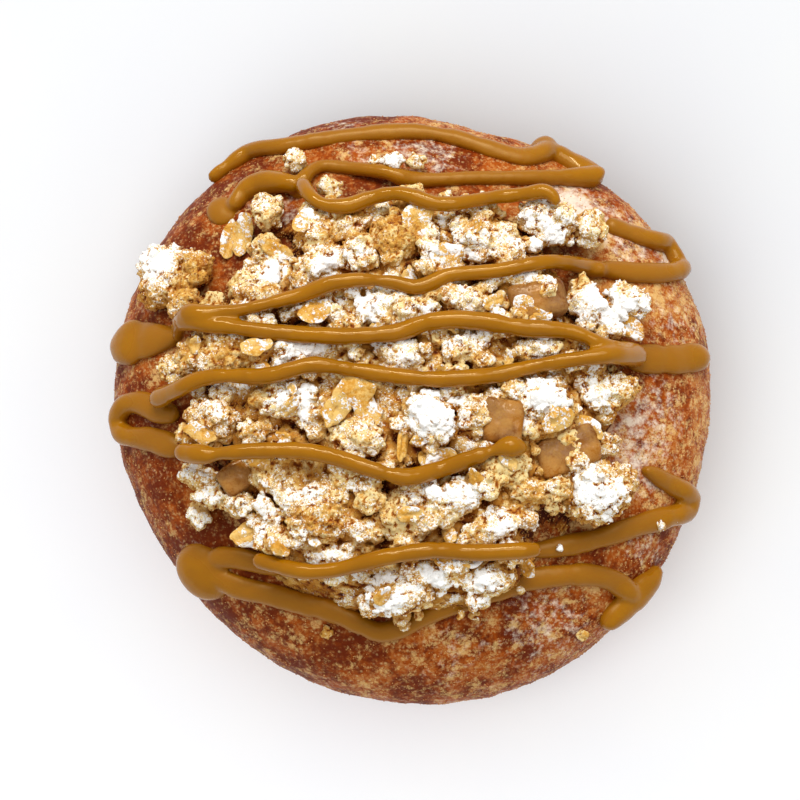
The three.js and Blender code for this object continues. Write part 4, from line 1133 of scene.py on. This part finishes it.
# Flatter runs on the dough: way-points [x, y, half width]
DOUGH_RUNS = [
    [(-34.8, 38.8, 0.6), (-33.4, 40.2, 1), (-31.5, 41.7, 1.35), (-29.2, 42.5, 1.5), (-25.5, 42.9, 1.5),
     (-21.9, 42.8, 1.5), (-17.1, 43.4, 1.5), (-11.2, 44.2, 1.55), (-4.5, 44.8, 1.55), (1.3, 45, 1.55),
     (7.2, 44, 1.6), (11.4, 42.5, 1.7), (14.7, 41.5, 1.85), (18.1, 40.8, 2), (20.8, 41.4, 2), (23.6, 43.2, 2),
     (26, 43.1, 2.1), (28.2, 41.8, 2.3), (30.4, 40.2, 2.4), (32.6, 38.4, 2.2)],
    [(30.4, 20.5, 1.3), (34.4, 20.3, 1.7), (37.5, 20.4, 1.75), (41.1, 20.9, 1.75), (44, 22, 1.8),
     (45.4, 24.2, 1.7), (45, 26.4, 1.6), (43.2, 27.2, 1.6), (40.7, 26.8, 1.7), (37.9, 27.2, 1.75),
     (34.8, 28, 1.6), (31.7, 28.8, 1.4)],
    [(34, 5.7, 1.7), (37.8, 5.7, 2.4), (43.1, 6.1, 2.6), (48.4, 7.6, 2.5)],
    [(-37.4, 9.6, 1.3), (-40.1, 9.4, 2.1), (-43, 9.4, 3.2), (-45.9, 9.5, 4), (-47.8, 9.1, 3.6),
     (-49.4, 8.6, 2.6)],
    [(-37.6, -3.6, 1.5), (-39.5, -3.1, 1.9), (-41.2, -2.5, 2.1), (-42.9, -1.5, 2.1), (-45, -0.7, 1.9),
     (-47, -0.9, 1.8), (-48.2, -2.6, 1.7), (-47.6, -4.8, 1.9), (-46.2, -5.9, 2.1), (-44.4, -6.5, 2.2),
     (-42.6, -6.9, 2.25), (-40.8, -7.6, 2.25), (-39.1, -8.3, 2.1), (-37, -9.4, 1.5)],
    [(18.7, -25.8, 1.3), (23.6, -25, 1.7), (30.1, -23.4, 1.85), (36.8, -21, 1.9), (42.4, -18.9, 1.8),
     (45.2, -17.4, 1.8), (45.8, -16, 1.7), (44.6, -15.2, 1.7), (43, -14.6, 1.75), (40.9, -13.8, 1.65),
     (38.8, -12.9, 1.3), (36.8, -12.2, 0.7)],
    [(-33, -27, 1.6), (-31, -26.4, 1.9), (-28, -26.6, 1.9), (-25, -27.3, 1.8), (-22.6, -28, 1.6),
     (-20.6, -28.6, 1.3)],
    [(-32.6, -28.8, 1.7), (-30.1, -30, 1.85), (-27.6, -31.1, 1.9), (-22.7, -32.4, 1.95), (-17.8, -33.8, 1.95),
     (-13, -35.1, 1.85), (-9.1, -36.8, 1.75), (-5.4, -38.4, 1.7), (-1.9, -37.8, 1.7), (2.1, -35.9, 1.6),
     (6, -34.4, 1.6), (10, -33.3, 1.7), (13.8, -31.9, 1.85), (19.1, -30.2, 1.85), (23.6, -29.5, 1.85),
     (27.8, -29.2, 1.85), (31.2, -29.6, 1.9), (33.9, -30.8, 2), (36.4, -32.4, 1.8)],
    [(40.4, -27, 0.9), (39, -28.6, 1.8), (37.2, -30.4, 2.5), (34.9, -32.8, 2.7), (32.4, -35.1, 2.3),
     (30.4, -37, 1.2)],
]
# Pools: [x, y, half length, half width, turn, half height]
POOLS = [
    (-33.8, -28.3, 5.3, 4.7, 20, 2.5), (-31.5, 31.2, 2.6, 3, 0, 1.3), (-18.4, 34.2, 2, 1.9, 0, 1.6),
    (22.3, 43.2, 2.6, 2.7, 0, 3.2),
]

print(sum(map(len, HEAP_RUNS + DOUGH_RUNS)), "way-points")

# %% [markdown]
# A smooth curve goes through all the way-points of a run: a Catmull-Rom spline, which needs no handles. It is
# measured out again into even steps, because the way-points stand closer in the bends. Nothing may reach past
# the doughnut, so a stop that would is moved inwards.

# %% Smooth the paths
STEP = 0.6  # between two stops
BITS = 24  # parts of the curve between two way-points
INSIDE = 0.978  # share of the doughnut's radius that a run may reach


def smooth_path(way_points):
    """Evenly spaced stops on a smooth curve through the way-points: their places and half widths."""
    knots = np.array(way_points, float)
    ends = np.vstack([2 * knots[0] - knots[1], knots, 2 * knots[-1] - knots[-2]])
    share = np.linspace(0, 1, BITS, endpoint=False)[:, None]
    bits = []
    for before, here, there, after in zip(ends, ends[1:], ends[2:], ends[3:]):
        cubic = -before + 3 * here - 3 * there + after
        square = 2 * before - 5 * here + 4 * there - after
        bits.append(0.5 * (cubic * share**3 + square * share**2 + (there - before) * share + 2 * here))
    curve = np.vstack([*bits, knots[-1:]])
    run = np.concatenate([[0], np.cumsum(np.hypot(*np.diff(curve[:, :2], axis=0).T))])
    stops = np.linspace(0, run[-1], int(run[-1] / STEP) + 2)
    x, y, half_width = (np.interp(stops, run, column) for column in curve.T)
    inside = np.minimum(1, INSIDE * outline(np.arctan2(y, x)) / np.hypot(x, y))
    return x * inside, y * inside, half_width


def dough_normal(x, y):
    reach = 0.3
    slope_x = (dough_top(x + reach, y) - dough_top(x - reach, y)) / (2 * reach)
    slope_y = (dough_top(x, y + reach) - dough_top(x, y - reach)) / (2 * reach)
    normal = np.stack([-slope_x, -slope_y, np.ones_like(x)], axis=1)
    return normal / np.linalg.norm(normal, axis=1, keepdims=True)


print("the first run has", len(smooth_path(HEAP_RUNS[0])[0]), "stops")

# %% [markdown]
# Each run starts as a straight tube, made by extruding a circle ring by ring, and is then bent along its
# path. Small swells and pinches come from noise, because a squeeze bottle never gives an even strand.

# %% Bend tubes along the paths
TUBE_SIDES = 14
TIP = 0.8  # length of a rounded end, in half widths


def bend_tube(form, path, normals, half_width, half_thickness, seed):
    """A closed tube along the path, flat against the given normals, with round ends."""
    rings = len(path)
    run = bmesh.new()
    sheet = bmesh.ops.create_circle(run, segments=TUBE_SIDES, radius=1)["verts"]
    tube = list(sheet)
    edges = list({edge for vert in sheet for edge in vert.link_edges})
    bmesh.ops.contextual_create(run, geom=edges)
    for _ in range(rings - 1):
        grown = bmesh.ops.extrude_edge_only(run, edges=edges)["geom"]
        edges = [item for item in grown if isinstance(item, bmesh.types.BMEdge) and len(item.link_faces) == 1]
        fresh = [item for item in grown if isinstance(item, bmesh.types.BMVert)]
        bmesh.ops.translate(run, verts=fresh, vec=(0, 0, 1))
        tube += fresh
    bmesh.ops.contextual_create(run, geom=edges)
    along = np.gradient(path, axis=0)
    along /= np.linalg.norm(along, axis=1, keepdims=True)
    across = np.cross(normals, along)
    across /= np.linalg.norm(across, axis=1, keepdims=True)
    up = np.cross(along, across)
    half_width, half_thickness = np.full(rings, half_width), np.full(rings, half_thickness)
    from_end = STEP * np.minimum(np.arange(rings), np.arange(rings)[::-1])
    rounding = np.sqrt(np.clip(1 - (1 - np.clip(from_end / (TIP * half_width), 0, 1)) ** 2, 0.05, 1))
    swell = 1 + 0.09 * soft_noise(path, 5, seed) + 0.05 * soft_noise(path, 2.2, seed + 1)
    for pinch in np.random.default_rng(seed).uniform(0, rings, rings // 16):
        swell -= 0.1 * np.exp(-(((np.arange(rings) - pinch) * STEP / 0.7) ** 2))
    for vert in tube:
        ring = round(vert.co.z)
        wide = vert.co.x * half_width[ring] * rounding[ring] * swell[ring]
        thick = vert.co.y * half_thickness[ring] * rounding[ring] * swell[ring]
        vert.co = Vector(path[ring] + across[ring] * wide + up[ring] * thick)
    add(form, run)


print("a strand has", TUBE_SIDES, "sides and a ring every", STEP, "mm")

# %% [markdown]
# The flat runs and the pools are laid on the dough first, because the round strands lie over them. Where a
# run hangs over the rim it is rounder and stands prouder. A pool is a flattened icosphere that lies along the
# dough.

# %% Lay the flat runs and the pools
HALF_THICKNESS = 1.25  # of a flat run
RUN_SEED = 120
UPRIGHT = (0, 0, 0.5)  # added to the dough's normals, so that nothing lies edgeways on the steep side

form = bmesh.new()
for index, way_points in enumerate(DOUGH_RUNS):
    x, y, half_width = smooth_path(way_points)
    rim = soft_step(0.88, 0.97, np.hypot(x, y) / outline(np.arctan2(y, x)))
    half_thickness = HALF_THICKNESS + rim * np.clip(half_width - HALF_THICKNESS, 0, 0.7)
    normals = dough_normal(x, y) + UPRIGHT
    normals /= np.linalg.norm(normals, axis=1, keepdims=True)
    path = np.column_stack([x, y, dough_top(x, y)]) + (0.4 + 0.4 * rim)[:, None] * normals
    bend_tube(form, path, normals, half_width, half_thickness, RUN_SEED + 5 * index)
for x, y, half_length, half_width, turn, half_height in POOLS:
    normal = Vector(dough_normal(np.array([x], float), np.array([y], float))[0] + UPRIGHT).normalized()
    lean = normal.to_track_quat("Z", "Y").to_matrix().to_4x4()
    stand = Matrix.Translation((x, y, float(dough_top(x, y)))) @ lean
    size = Matrix.Diagonal((half_length, half_width, half_height, 1))
    shape = Matrix.Rotation(math.radians(turn), 4, "Z") @ size
    bmesh.ops.create_icosphere(form, subdivisions=4, radius=1, matrix=stand @ shape)
flat_runs = settle(form, "flat_runs")
print(len(DOUGH_RUNS), "flat runs and", len(POOLS), "pools")

# %% [markdown]
# A strand that drops onto a bumpy heap touches only the high spots: its height is the top of a set of hanging
# arcs, one from each point of the ground below it. Past the last crumb the arcs are steep, so the strand
# comes down to the dough there. One remesh then melts all runs and pools into a single body, with soft
# fillets where they meet, as warm caramel flows together.

# %% Drape the strands and melt it all together
ARC = 0.03  # how fast a hanging stretch falls away from what carries it
STEEP_ARC = 0.22  # the same past the last crumb
CARRIED = 2.8  # ground this far above the dough is a crumb that carries the strand
PRESSED_IN = 0.5  # how far a strand sinks into what carries it
RELAXED = 9  # rounds of smoothing for the height of a strand
CARAMEL_VOXEL = 0.34
STRAND_SEED = 70
ground_map = neighbours_highest(height_map([*heap, flakes, flat_runs]), 1)


def drape(x, y, half_width):
    ground = ground_map[grid_index(x, y)]
    run = STEP * np.arange(len(x))
    carried = run[ground > dough_top(x, y) + CARRIED]
    past_crumbs = (run < carried.min(initial=run[-1])) | (run > carried.max(initial=0))
    fall = np.where(past_crumbs, STEEP_ARC, ARC)
    arcs = ground[None, :] - fall[:, None] * (run[:, None] - run[None, :]) ** 2
    height = arcs.max(axis=1) - PRESSED_IN
    for _ in range(RELAXED):
        height[1:-1] = (height[:-2] + 2 * height[1:-1] + height[2:]) / 4
    return np.column_stack([x, y, height + 0.45 * half_width])


form = bmesh.new()
form.from_mesh(flat_runs.data)
bpy.data.objects.remove(flat_runs)
for index, way_points in enumerate(HEAP_RUNS):
    x, y, half_width = smooth_path(way_points)
    path = drape(x, y, half_width)
    upwards = np.tile((0.0, 0, 1), (len(path), 1))
    bend_tube(form, path, upwards, half_width, half_width, STRAND_SEED + 5 * index)
    print("strand", index, "tops out at", round(float(path[:, 2].max()), 1), "mm")
bmesh.ops.recalc_face_normals(form, faces=form.faces)
caramel = settle(form, "caramel_drizzle")
fuse(caramel, CARAMEL_VOXEL, smoothing=4)
points = points_of(caramel)
wobble = 0.07 * soft_noise(points, 3.4, 210) + 0.025 * soft_noise(points, 1.2, 211)
move_points(caramel, points + normals_of(caramel) * wobble[:, None])
on_dough = 1 - soft_step(1.4, 3.4, points[:, 2] - dough_top(points[:, 0], points[:, 1]))
store(caramel, "on_dough", on_dough)
print("caramel faces:", len(caramel.data.polygons))

# %% [markdown]
# Caramel is opaque and glossy with a little light passing through its thin edges. Where it spread on the
# dough it has dried duller and slightly paler.

# %% Mix the caramel's finish
caramel_material, recipe, shader = new_material("soft_caramel")
place = recipe.place()
dull = recipe.attribute("on_dough")
cloud = recipe.ramp(recipe.noise(place, 6, 2.0), 0.3, 0.7)
colour = recipe.blend(cloud, paint(146, 91, 0), paint(156, 99, 0))
smear = recipe.noise(place, 1.6, 3.0, 0.5)
dress(
    recipe, shader, recipe.over(colour, dull, 0.8, paint(148, 92, 10)),
    recipe.plus(recipe.times(dull, 0.24), 0.09, recipe.times(smear, 0.1)), height=smear, strength=0.12,
    Subsurface_Weight=0.15, Subsurface_Radius=(1, 0.4, 0.1), Subsurface_Scale=0.0008, Specular_IOR_Level=0.42,
    Specular_Tint=(1, 0.8, 0.42, 1),
)
print("caramel finish has", len(recipe.tree.nodes), "nodes")

# %% [markdown]
# ## Finish the pieces
# Every piece now gets its finish and takes the place of its solid in the CAD model. The crumbs, their bed,
# the oat flakes and the caramel share the solids of the heap and the doughnut. The mesh is shrunk to metres
# and shifted a little, because the tables are measured from a point that isn't quite the middle of the
# outline.

# %% Hand the pieces to the frame
SHIFT = (-0.02, -0.8, 0)


def finish_piece(piece, material, slot, *nodes):
    piece.data.transform(Matrix.Scale(MM, 4) @ Matrix.Translation(SHIFT))
    piece.data.shade_smooth()
    piece.data.materials.clear()
    piece.data.materials.append(material)
    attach(piece, "root")
    if nodes:
        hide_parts(*nodes)
    triangles = sum(len(face.vertices) - 2 for face in piece.data.polygons)
    print(piece.name, "has", triangles, "triangles")


finish_piece(dough, dough_material, "dough", "doughnut")
finish_piece(bed, crumble_material, "crumble", "crumble_heap")
for name, crumbs in crumb_pieces.items():
    finish_piece(crumbs, crumble_material, "crumble", "crumble_heap")
for name, cluster in clusters.items():
    finish_piece(cluster, crumble_material, "crumble", f"cluster_{name}")
finish_piece(flakes, oat_material, "oats", "crumble_heap")
for name, apple in apples.items():
    finish_piece(apple, apple_material, "apple", f"apple_piece_{name}")
finish_piece(caramel, caramel_material, "caramel", "crumble_heap", "doughnut")

# %% [markdown]
# ## Loose sugar
# The last layer is loose sugar: crystals of cinnamon sugar on the dough and grains of icing sugar on the
# crumbs. A Geometry Nodes tree strews points over a surface, thicker where a stored number says so, and puts
# a tiny turned grain on each one. The result is realised and applied, so the grains are ordinary mesh.

# %% Strew the grains
def strewing_tree(grain, attribute, density, sizes, seed):
    tree = bpy.data.node_groups.new("strew_grains", "GeometryNodeTree")
    tree.interface.new_socket("Geometry", in_out="INPUT", socket_type="NodeSocketGeometry")
    tree.interface.new_socket("Geometry", in_out="OUTPUT", socket_type="NodeSocketGeometry")
    recipe = Recipe(tree)
    surface = recipe.node("NodeGroupInput").outputs[0]
    share = recipe.node("GeometryNodeInputNamedAttribute", {"data_type": "FLOAT"}, Name=attribute).outputs[0]
    amount = recipe.times(share, density)
    strewn = recipe.node("GeometryNodeDistributePointsOnFaces", None, Mesh=surface, Density=amount, Seed=seed)
    vector, number = {"data_type": "FLOAT_VECTOR"}, {"data_type": "FLOAT"}
    turn = recipe.node("FunctionNodeRandomValue", vector, i1=(math.tau,) * 3, Seed=seed + 1)
    size = recipe.node("FunctionNodeRandomValue", number, i2=sizes[0], i3=sizes[1], Seed=seed + 2)
    shape = recipe.node("GeometryNodeObjectInfo", None, Object=grain).outputs["Geometry"]
    placed = recipe.node("GeometryNodeInstanceOnPoints", None, Points=strewn.outputs["Points"], Instance=shape,
                         Rotation=turn.outputs[0], Scale=size.outputs[1]).outputs[0]
    real = recipe.node("GeometryNodeRealizeInstances", None, Geometry=placed).outputs[0]
    recipe.link(real, recipe.node("NodeGroupOutput").inputs[0])
    return tree


def strew(name, carriers, attribute, density, sizes, seed, material):
    """Grains over the carriers as one piece; density is in grains per square metre, sizes in metres."""
    form = bmesh.new()
    bmesh.ops.create_uvsphere(form, u_segments=4, v_segments=2, radius=1)
    bmesh.ops.scale(form, verts=form.verts, vec=(1, 0.85, 0.75))
    grain = settle(form, "one_grain")
    form = bmesh.new()
    for carrier in carriers:
        form.from_mesh(carrier.data)
    grains = settle(form, name)
    modifier = grains.modifiers.new("strew", "NODES")
    modifier.node_group = strewing_tree(grain, attribute, density, sizes, seed)
    apply_modifiers(grains)
    bpy.data.objects.remove(grain)
    grains.data.materials.clear()
    grains.data.materials.append(material)
    grains.data.shade_smooth()
    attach(grains, "root")
    print(name, "has", len(grains.data.polygons), "triangles")


def sugar_material(name, first, second):
    material, recipe, shader = new_material(name)
    place = recipe.place()
    mix = recipe.ramp(recipe.noise(place, 0.6, 2.0, 0.7), 0.35, 0.65)
    dress(recipe, shader, recipe.blend(mix, first, second), recipe.ramp(recipe.noise(place, 0.3), -0.6, 1.4))
    return material


crystal_material = sugar_material("cinnamon_sugar", paint(222, 168, 98), paint(172, 100, 38))
icing_material = sugar_material("icing_sugar", paint(255, 254, 252), paint(246, 240, 226))
grit_material = sugar_material("crumble_grit", paint(226, 176, 92), paint(150, 80, 18))
strew("cinnamon_sugar_crystals", [dough], "crystals", 2e6, (0.0001, 0.00022), 5, crystal_material)

# %% [markdown]
# Icing sugar shows as single grains only at the ragged edges of the dust, where the cover is middling. Inside
# a full patch the grains merge, so they are left out there. Bare crumbs carry a fine grit of their own colour
# instead.

# %% Strew icing sugar at the edges of the dust
ICING_SIZES, GRIT_SIZES = (0.00008, 0.0002), (0.0001, 0.00024)

for piece in heap:
    cover = stored(piece, "cover")
    facing_up = soft_step(0, 0.5, normals_of(piece)[:, 2])
    store(piece, "edge", soft_step(0.1, 0.45, cover) * soft_step(1.3, 0.8, cover) * facing_up)
    store(piece, "grit", (1 - soft_step(0.2, 0.65, cover)) * facing_up)
on_clusters, on_crumbs = list(clusters.values()), [bed, *crumb_pieces.values()]
strew("icing_grains_on_clusters", on_clusters, "edge", 8e6, ICING_SIZES, 8, icing_material)
strew("icing_grains_on_crumbs", on_crumbs, "edge", 5e6, ICING_SIZES, 9, icing_material)
strew("grit_on_clusters", on_clusters, "grit", 3.5e6, GRIT_SIZES, 10, grit_material)
strew("grit_on_crumbs", on_crumbs, "grit", 2.4e6, GRIT_SIZES, 11, grit_material)
